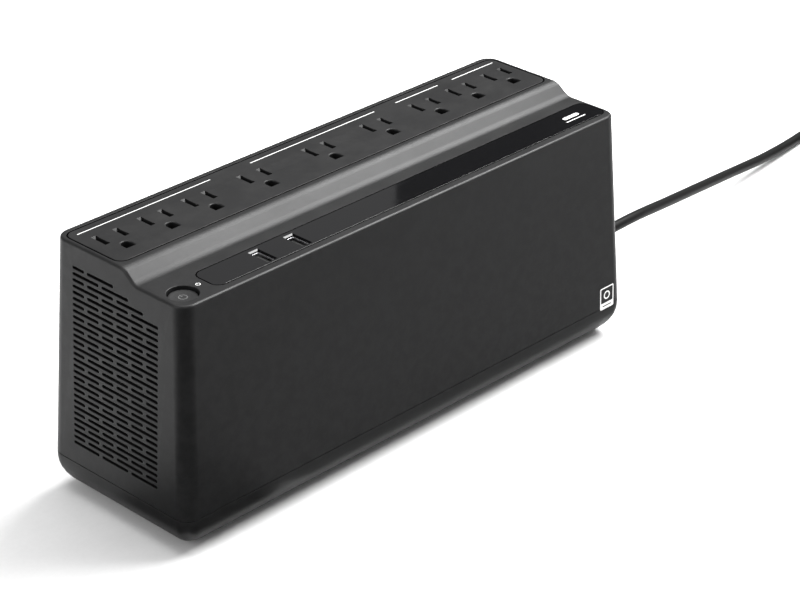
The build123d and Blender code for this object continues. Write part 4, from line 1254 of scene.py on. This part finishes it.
def breaker_key():
    """The reset button in the breaker's neck."""
    profile = [(148, 2.82), (161.6, 2.82), (162.0, 2.65), (162.2, 2.3), (162.05, 1.6), (162.0, 0.8)]
    return smoothed(turned("breaker_key", BREAKER_AT, profile, "X", 40))


def data_socket():
    """The modular data socket set in the end wall."""
    y, z = PORT_AT
    nose_x = end_x(z) - 1.0
    nose = block("data_socket", (150, nose_x), about(y, 7.8), about(z, 6.6))
    round_at(nose, 0, nose_x, 0.4, 2)
    combine(nose, block("body", (138, 152), about(y, 9), about(z, 7.6)), "UNION")
    combine(nose, block("cavity", (144, 162), about(y, 5.9), about(z, 3.4)))
    combine(nose, block("key", (144, 162), about(y, 3.0), (z - 5.0, z)))
    combine(nose, block("latch", (144, 162), about(y, 1.6), (z - 5.9, z)))
    return smoothed(cleaned(nose))


def relief_profile():
    """Flange, then rings that step down to the cord's size."""
    start = HALF_LENGTH + 0.1
    inner = end_x(CORD_AT[1])
    profile = [(inner - 5.5, 7.6), (inner - 5.2, 8.0), (inner - 3.2, 8.0), (inner - 3.2, 5.95)]
    profile += [(start, 5.95), (start, 8.0), (start + 0.4, 8.4), (start + 1.5, 8.4)]
    profile += [(start + 2.0, 7.9), (start + 2.0, 7.0)]
    for step in range(4):
        x = start + 5.0 + step * 4.2
        outer = 7.0 - 2.6 * ((x - start) / (RELIEF_END - start))
        profile += [(x - 0.25, outer), (x, outer - 0.3), (x, 4.3), (x + 1.6, 4.3)]
        profile += [(x + 1.6, outer - 0.5), (x + 1.85, outer - 0.25)]
    profile += [(187.3, 4.4), (187.8, 4.1), (RELIEF_END, 3.6)]
    return profile


def cord_relief():
    """The ribbed strain relief round the cord."""
    return smoothed(turned("cord_relief", CORD_AT, relief_profile(), "X", 56))


def cord_points():
    """The cord's route: out, down to the standing surface, round the coil, and to the plug."""
    route = [(188, -3.5, 30), (222, -3.2, 31.6), (262, 2.5, 25.6), (306, 10.2, 18.6), (352, 18, 11.4),
             (398, 23.8, 5.4), (446, 30.4, 3.3), (470, 34.9, 3.7)]
    pitch = 2 * CORD_R
    low = 1.0 + CORD_R
    laid = ((COIL_OUTER_R, low), (COIL_INNER_R, low), (COIL_INNER_R, low + pitch),
            (COIL_OUTER_R, low + pitch), (COIL_OUTER_R, low + 2 * pitch))
    steps = 24
    shift = 3
    swell = 8 / (6 + 2 * math.cos(2 * math.pi / steps))
    for turn, (radius, z) in enumerate(laid):
        begins = steps - (turn + 1) * shift
        for step in range(0, steps):
            share = 0.0
            if turn + 1 < len(laid):
                share = min(1.0, max(0.0, (step - begins) / shift))
            after = laid[min(turn + 1, len(laid) - 1)]
            eased = share * share * (3 - 2 * share)
            r = (radius + (after[0] - radius) * eased) * swell
            height = z + (after[1] - z) * eased
            angle = 2 * math.pi * step / steps
            route.append((COIL_CENTRE[0] + r * math.sin(angle), COIL_CENTRE[1] + r * math.cos(angle), height))
    route.append((COIL_CENTRE[0], COIL_CENTRE[1] + COIL_OUTER_R * swell, 16.5))
    route += [(520, 36.6, 13.6), (552, 36.1, 12.2)]
    return route


def mains_cord():
    """The cord as one smooth line of its own thickness."""
    data = bpy.data.curves.new("mains_cord", "CURVE")
    data.dimensions = "3D"
    spline = data.splines.new("NURBS")
    points = cord_points()
    spline.points.add(len(points) - 1)
    for point, spot in zip(spline.points, points):
        point.co = (spot[0] * MM, spot[1] * MM, spot[2] * MM, 1.0)
    spline.order_u = 3
    spline.use_endpoint_u = True
    spline.resolution_u = 5
    data.bevel_depth = CORD_R * MM
    data.bevel_resolution = 6
    data.use_fill_caps = True
    cord = bpy.data.objects.new("mains_cord", data)
    bpy.context.collection.objects.link(cord)
    return cord


def rounded_bar(name, x, y, z, axis, radius, segments):
    """A block whose edges along one axis are rounded."""
    bar = block(name, x, y, z)
    round_along(bar, axis, radius, segments)
    return bar


def coil_straps():
    """Two hook and loop straps round the turns, each with its overlapped end."""
    straps = []
    y = about(COIL_CENTRE[1], 5)
    for side in (-1, 1):
        x = COIL_CENTRE[0] + side * 36.0
        strap = rounded_bar("strap", about(x, 7.3), y, (0.05, 20.4), 1, 3.6, 6)
        combine(strap, rounded_bar("inside", about(x, 6.25), wider(y, 1), (0.85, 19.65), 1, 2.8, 6))
        end = plate("end", (x - 4.5, x + 4.8), wider(y, -0.3), (20.3, 20.58), 0.8, 3)
        straps.append(combine(strap, end, "UNION"))
    return smoothed(cleaned(joined("coil_straps", straps)))


def plug_form():
    """The moulded plug with its ribbed taper and grip grooves."""
    y, z = PLUG_AT
    grip = block("plug_grip", (PLUG_X + 18, PLUG_FACE), about(y, 13), (0.0, 2 * z))
    round_along(grip, 0, 7, 8)
    round_at(grip, 0, PLUG_FACE, 0.8, 3)
    round_at(grip, 0, PLUG_X + 18, 3.0, 5)
    profile = [(PLUG_X, 3.9), (PLUG_X + 0.5, 4.4)]
    for step in range(4):
        x = PLUG_X + 3 + step * 4.0
        outer = 4.6 + 3.6 * (x - PLUG_X) / 19
        profile += [(x, outer), (x, outer - 1.0), (x + 1.4, outer - 0.8), (x + 1.4, outer + 0.25)]
    profile += [(PLUG_X + 21, 8.6)]
    combine(grip, turned("plug_taper", (y, z), profile, "X", 48), "UNION")
    grooves = []
    for step in range(5):
        x = PLUG_X + 25 + step * 3.6
        for low, high in ((y - 14, y - 12.4), (y + 12.4, y + 14)):
            grooves.append(block("groove", (x, x + 1.5), (low, high), (5, 19.4)))
    combine(grip, joined("grooves", grooves))
    return smoothed(cleaned(grip))


def plug_blades():
    """Two blades with their holes and the round ground pin."""
    y, z = PLUG_AT
    face = PLUG_FACE
    blade_z = z + 5.0
    parts = []
    for side in (-1, 1):
        at = y + side * SLOT_OFFSET
        blade = block("blade", (face - 1, face + 16), about(at, 0.76), about(blade_z, 3.17))
        edit(blade)
        pick(blade, "edges", lambda e: abs(middle(e).x - face - 16) < 0.01)
        bevel(0.5, 3)
        finish_edit()
        hole = rod("hole", 1.6, at - 2, at + 2, (0, 0), sides=28)
        hole.rotation_euler = (math.pi / 2, 0, 0)
        hole.location = ((face + 12.3) * MM, 2 * at * MM, blade_z * MM)
        fixed(hole)
        parts.append(combine(blade, hole))
    pin_z = blade_z - 11.9
    profile = [(face - 1, 2.4), (face + 18, 2.4), (face + 19, 2.1), (face + 19.7, 1.5), (face + 20, 0.7)]
    parts.append(turned("pin", (y, pin_z), profile, "X", 36))
    return smoothed(cleaned(joined("plug_blades", parts)))


def battery_box():
    """The battery's case with its lid's joint and the recess with six caps."""
    top = BASE_FLOOR_TOP + 94.0
    x, y = (-30.0, 121.0), (-32.5, 32.5)
    case = plate("battery_box", x, y, (BASE_FLOOR_TOP, top), 2.0, 5)
    round_at(case, 2, top, 0.8, 3)
    round_at(case, 2, BASE_FLOOR_TOP, 0.6, 2)
    groove = plate("joint", wider(x, 1), wider(y, 1), (top - 12.4, top - 11.8), 2.0, 5)
    combine(groove, plate("joint_inside", wider(x, -0.35), wider(y, -0.35), (top - 13, top - 11), 1.7, 5))
    combine(case, groove)
    combine(case, plate("recess", (x[0] + 10, x[1] - 8), (2, 24), (top - 0.5, top + 1), 4, 5))
    spots = [(x[0] + 24 + step * 20.5, 13.0) for step in range(6)]
    combine(case, joined("vents", [rod("vent", 5.0, top - 0.9, top + 1, at, sides=32) for at in spots]))
    return smoothed(cleaned(case))


# --- stage ----------------------------------------------------------------------------
def add_camera(sizes):
    """A long lens at the height and turn of a product view."""
    data = bpy.data.cameras.new("view_camera")
    data.lens = sizes.lens
    data.sensor_width = 36.0
    data.clip_start, data.clip_end = 0.05, 50.0
    camera = bpy.data.objects.new("view_camera", data)
    bpy.context.collection.objects.link(camera)
    turn, rise = sizes.view_turn, sizes.view_rise
    back = Vector((math.sin(turn) * math.cos(rise), -math.cos(turn) * math.cos(rise), math.sin(rise)))
    camera.location = Vector(sizes.view_target) + back * sizes.view_distance
    camera.rotation_euler = (-back).to_track_quat("-Z", "Y").to_euler()
    bpy.context.scene.camera = camera


def add_softbox(name, location, target, size, energy):
    data = bpy.data.lights.new(name, "AREA")
    data.shape = "RECTANGLE"
    data.size, data.size_y = size
    data.energy = energy
    light = bpy.data.objects.new(name, data)
    bpy.context.collection.objects.link(light)
    light.location = location
    aim = Vector(target) - Vector(location)
    light.rotation_euler = aim.to_track_quat("-Z", "Y").to_euler()


def matt_finish(name, shade, grain, drift, roughness, specular=0.0):
    """One even grey for a part of the stage."""
    material, tree, shader, where = shader_start(name)
    base = group_node(tree, "grain", where, Colour=opaque((shade, shade, shade)), Grain_Scale=grain,
                      Drift=drift, Roughness=roughness)
    coat(tree, shader, base)
    shader.inputs["Specular IOR Level"].default_value = specular
    return material


def add_floor():
    nothing_selected()
    bpy.ops.mesh.primitive_plane_add(size=1, location=(0, 0, 0), scale=(1, 1, 1))
    floor = settled("floor")
    edit(floor, "VERT")
    bpy.ops.mesh.select_all(action="SELECT")
    bpy.ops.transform.resize(value=(9, 9, 1), center_override=(0, 0, 0))
    bpy.ops.mesh.subdivide(number_cuts=8)
    finish_edit()
    floor.data.materials.append(matt_finish("pale_floor", 0.86, 400.0, 0.01, 0.8, 0.2))


def only_mirrored(obj):
    """Leaves an object of the stage to be seen in reflections only."""
    obj.visible_camera = obj.visible_diffuse = False
    obj.visible_shadow = obj.visible_transmission = False


def add_flag():
    """A dark card that only the gloss sees: it blackens one end of the glossy strip."""
    nothing_selected()
    bpy.ops.mesh.primitive_plane_add(size=1, location=(0, 0, 0))
    flag = settled("dark_flag")
    edit(flag, "VERT")
    bpy.ops.mesh.select_all(action="SELECT")
    bpy.ops.transform.resize(value=(1.5, 1.6, 1), center_override=(0, 0, 0))
    finish_edit()
    edge = math.radians(44.3)
    distance = 2.6
    near = Vector((-0.0005, -0.033, 0)) + Vector((math.cos(edge), math.sin(edge), 0)) * distance
    sideways = Vector((math.sin(edge), -math.cos(edge), 0))
    flag.location = near + sideways * 0.75 + Vector((0, 0, 1.35))
    flag.rotation_euler = (math.pi / 2, 0, edge - math.pi / 2)
    fixed(flag)
    flag.data.materials.append(matt_finish("dark_flag", 0.012, 50.0, 0.05, 0.9))
    only_mirrored(flag)


def add_card(name, x, y, shade):
    """A card flat on the floor that dims what the casing mirrors."""
    card = plate(name, x, y, (0.3, 0.6), 20.0, 6)
    card.data.materials.append(matt_finish(name, shade, 50.0, 0.05, 0.9))
    only_mirrored(card)


def set_world(strength):
    world = bpy.data.worlds.new("soft_studio")
    world.use_nodes = True
    back = world.node_tree.nodes["Background"]
    back.inputs["Color"].default_value = (1.0, 1.0, 1.0, 1)
    back.inputs["Strength"].default_value = strength
    bpy.context.scene.world = world


# --- settings, operators and panel --------------------------------------------------------
class UnitSizes(bpy.types.PropertyGroup):
    """Sizes and colours of the casing."""

    housing_colour: bpy.props.FloatVectorProperty(
        name="Casing colour", description="Colour of the moulded casing", default=(0.008, 0.008, 0.0083),
        subtype="COLOR", min=0, max=1
    )
    strip_colour: bpy.props.FloatVectorProperty(
        name="Strip colour", description="Colour of the glossy strip", default=(0.006, 0.006, 0.0065),
        subtype="COLOR", min=0, max=1
    )
    housing_roughness: bpy.props.FloatProperty(
        name="Casing roughness", description="How matt the casing is", default=0.42, min=0, max=1,
        subtype="FACTOR"
    )
    housing_specular: bpy.props.FloatProperty(
        name="Casing specular", description="How strongly the casing reflects", default=0.26, min=0, max=1,
        subtype="FACTOR"
    )
    rim_radius: bpy.props.FloatProperty(
        name="Rim radius", description="Rounding of the housing's upper edges", default=0.0015, min=0,
        unit="LENGTH"
    )


class UnitView(bpy.types.PropertyGroup):
    """Camera and light."""

    lens: bpy.props.FloatProperty(
        name="Lens", description="Focal length on a 36 mm sensor", default=116.69, min=20, unit="CAMERA"
    )
    view_turn: bpy.props.FloatProperty(
        name="Turn", description="Camera's turn from straight in front", default=math.radians(-45.797),
        unit="ROTATION"
    )
    view_rise: bpy.props.FloatProperty(
        name="Rise", description="Camera's angle above level", default=math.radians(28.08), unit="ROTATION"
    )
    view_distance: bpy.props.FloatProperty(
        name="Distance", description="Camera's distance from its target", default=1.38355, min=0,
        unit="LENGTH"
    )
    view_target: bpy.props.FloatVectorProperty(
        name="Target", description="Point the camera looks at", default=(0.03648, 0.0, 0.04836),
        subtype="TRANSLATION", unit="LENGTH"
    )
    sky: bpy.props.FloatProperty(
        name="Sky", description="Brightness of the even surrounding light", default=0.42, min=0
    )


class CordFacts(bpy.types.PropertyGroup):
    """The mains cord."""

    cord_length: bpy.props.FloatProperty(
        name="Cord length", description="Real length of the cord", default=1.52, min=0, unit="LENGTH"
    )
    cord_diameter: bpy.props.FloatProperty(
        name="Cord diameter", description="Thickness of the cord", default=0.0062, min=0, unit="LENGTH"
    )


def finishes():
    return materials(bpy.context.scene.unit_sizes)


class UNIT_OT_stage(bpy.types.Operator):
    """Camera, floor and soft studio light"""

    bl_idname = "unit.stage"
    bl_label = "Stage"

    def execute(self, context):
        view = context.scene.unit_view
        add_camera(view)
        add_floor()
        add_flag()
        add_card("corner_card", (-1000, -166), (-900, 20), 0.005)
        add_card("left_card", (-200, -85), (-900, -53), 0.005)
        add_card("front_card", (-85, 620), (-600, -53), 0.26)
        set_world(view.sky)
        add_softbox("top_softbox", (0.1, 0.2, 2.0), (0, 0, 0.05), (1.8, 1.4), 26.0)
        add_softbox("crest_softbox", (0.96, -0.2, 1.33), (0, 0, 0.13), (1.45, 0.5), 53.0)
        add_softbox("left_softbox", (-1.7, 0.3, 0.9), (0, 0, 0.08), (1.2, 1.2), 10.0)
        context.scene.view_settings.view_transform = "Standard"
        return {"FINISHED"}


class UNIT_OT_cord(bpy.types.Operator):
    """Mains cord with its relief, straps and plug"""

    bl_idname = "unit.cord"
    bl_label = "Mains cord"

    def execute(self, context):
        cord = mains_cord()
        place(cord, "chassis", "cord_jacket", "power_cord", "cord_coil", "cord_tail")
        relief = place(cord_relief(), "chassis", "moulded_black", "strain_relief")
        straps = place(coil_straps(), "chassis", "tie_strap", "cord_ties")
        plug = place(plug_form(), "chassis", "moulded_black", "plug_body")
        blades = place(plug_blades(), "chassis", "plug_metal", "plug_pins")
        return {"FINISHED"}


class UNIT_OT_housing(bpy.types.Operator):
    """Upper casing with vents and openings"""

    bl_idname = "unit.housing"
    bl_label = "Housing"

    def execute(self, context):
        shell = housing_casing(context.scene.unit_sizes)
        place(shell, "chassis", "housing_plastic", "housing_shell")
        place(front_mark(), "chassis", "housing_plastic", finish="white_print")
        return {"FINISHED"}


class UNIT_OT_base(bpy.types.Operator):
    """Lower casing, cover, pads and screws"""

    bl_idname = "unit.base"
    bl_label = "Base"

    def execute(self, context):
        place(base_casing(), "chassis", "housing_plastic", "base_tray")
        place(bay_cover(), "battery_cover", "housing_plastic", "battery_cover")
        place(foot_pads(), "chassis", "foot_rubber", "rubber_feet")
        place(casing_screws(), "chassis", "plated_steel", "housing_screws")
        return {"FINISHED"}


class UNIT_OT_outlets(bpy.types.Operator):
    """Outlet plate with its printed line"""

    bl_idname = "unit.outlets"
    bl_label = "Outlets"

    def execute(self, context):
        place(outlet_plate(), "chassis", "housing_plastic", "outlet_panel")
        place(printed_lines(), "chassis", "housing_plastic", finish="white_print")
        x, z = (-PANEL_HALF_LENGTH - 0.02, PANEL_HALF_LENGTH + 0.02), (HIGH_TOP - 1.2, HIGH_TOP - 0.3)
        y = wider(PANEL_Y, 0.02)
        # painted shade: a black ring in the gap round the outlet plate darkens the seam
        seam = gap_shade_ring("panel_gasket", x, y, 5.02, PANEL_GAP - 0.04, z)
        place(seam, "chassis", "insulator_plastic", finish="gap_black")
        return {"FINISHED"}


class UNIT_OT_strip(bpy.types.Operator):
    """Glossy strip, USB sockets and printed marks"""

    bl_idname = "unit.strip"
    bl_label = "Strip and USB"

    def execute(self, context):
        place(gloss_strip(), "chassis", "inlay_gloss", "inlay_strip")
        for number, x in enumerate(USB_X, 1):
            place(usb_socket(number, x), "chassis", "plated_steel", f"usb_shell_{number}")
        place(usb_tongues(), "chassis", "insulator_plastic", "usb_tongues")
        place(usb_contacts(), "chassis", "contact_brass")
        place(generic_marks(), "chassis", "inlay_gloss", finish="white_print")
        x, y = wider(INLAY_X, 0.02), wider(INLAY_Y, 0.02)
        # painted shade: a black ring in the gap round the glossy strip darkens the seam
        seam = gap_shade_ring("strip_gasket", x, y, 5.02, STRIP_GAP - 0.04, (LOW_TOP - 1.0, LOW_TOP - 0.15))
        place(seam, "chassis", "insulator_plastic", finish="gap_black")
        return {"FINISHED"}


class UNIT_OT_button(bpy.types.Operator):
    """Power button with its sign"""

    bl_idname = "unit.button"
    bl_label = "Power button"

    def execute(self, context):
        place(power_key(), "power_button", "button_plastic", "power_button")
        key_z = LOW_TOP - KEY_SUNK
        sign = power_mark("button_sign", BUTTON_AT, 2.3, 0.45, (key_z - 0.45, key_z - 0.28))
        place(sign, "power_button", "button_plastic", finish="grey_print")
        mark = power_mark("ledge_sign", (-133.2, -32.9), 1.3, 0.35, (LOW_TOP - 0.03, LOW_TOP + 0.04))
        place(mark, "chassis", "housing_plastic", finish="white_print")
        return {"FINISHED"}


class UNIT_OT_end(bpy.types.Operator):
    """Breaker and data socket in the cord's end"""

    bl_idname = "unit.end"
    bl_label = "Cord end"

    def execute(self, context):
        place(breaker_neck(), "chassis", "insulator_plastic", "breaker_body")
        place(breaker_nut(), "chassis", "plated_steel", "breaker_nut")
        place(breaker_key(), "breaker_reset", "button_plastic", "breaker_button", finish="red_print")
        place(data_socket(), "chassis", "insulator_plastic", "data_port")
        return {"FINISHED"}


class UNIT_OT_battery(bpy.types.Operator):
    """Battery case"""

    bl_idname = "unit.battery"
    bl_label = "Battery"

    def execute(self, context):
        place(battery_box(), "battery", "battery_plastic", "battery_case")
        return {"FINISHED"}


class UNIT_OT_inside(bpy.types.Operator):
    """Finishes for the inner parts that keep their frame shape"""

    bl_idname = "unit.inside"
    bl_label = "Inner parts"

    def execute(self, context):
        paint = finishes()
        for part in frame["record"]["subparts"]:
            obj = frame["nodes"][part["node"]]
            obj.data.materials.clear()
            obj.data.materials.append(paint[part["material_slot"]])
        return {"FINISHED"}


class UNIT_PT_panel(bpy.types.Panel):
    """Lists the pieces in the order in which they are built"""

    bl_idname = "UNIT_PT_panel"
    bl_label = "Backup Unit"
    bl_space_type = "VIEW_3D"
    bl_region_type = "UI"
    bl_category = "Backup Unit"

    def draw(self, context):
        for operator in OPERATORS:
            self.layout.operator(operator.bl_idname)
        for group in (context.scene.unit_sizes, context.scene.unit_view, context.scene.cord_facts):
            box = self.layout.box()
            for name in group.__annotations__:
                box.prop(group, name)


OPERATORS = (
    UNIT_OT_stage,
    UNIT_OT_cord,
    UNIT_OT_housing,
    UNIT_OT_base,
    UNIT_OT_outlets,
    UNIT_OT_strip,
    UNIT_OT_button,
    UNIT_OT_end,
    UNIT_OT_battery,
    UNIT_OT_inside,
)
GROUP_CLASSES = {"unit_sizes": UnitSizes, "unit_view": UnitView, "cord_facts": CordFacts}


def register():
    for name, group in GROUP_CLASSES.items():
        bpy.utils.register_class(group)
        setattr(bpy.types.Scene, name, bpy.props.PointerProperty(type=group))
    for operator in OPERATORS:
        bpy.utils.register_class(operator)
    bpy.utils.register_class(UNIT_PT_panel)


def unregister():
    bpy.utils.unregister_class(UNIT_PT_panel)
    for operator in reversed(OPERATORS):
        bpy.utils.unregister_class(operator)
    for name, group in GROUP_CLASSES.items():
        delattr(bpy.types.Scene, name)
        bpy.utils.unregister_class(group)


def main():
    register()
    for operator in OPERATORS:
        family, action = operator.bl_idname.split(".")
        getattr(getattr(bpy.ops, family), action)()


if __name__ == "__main__":
    main()
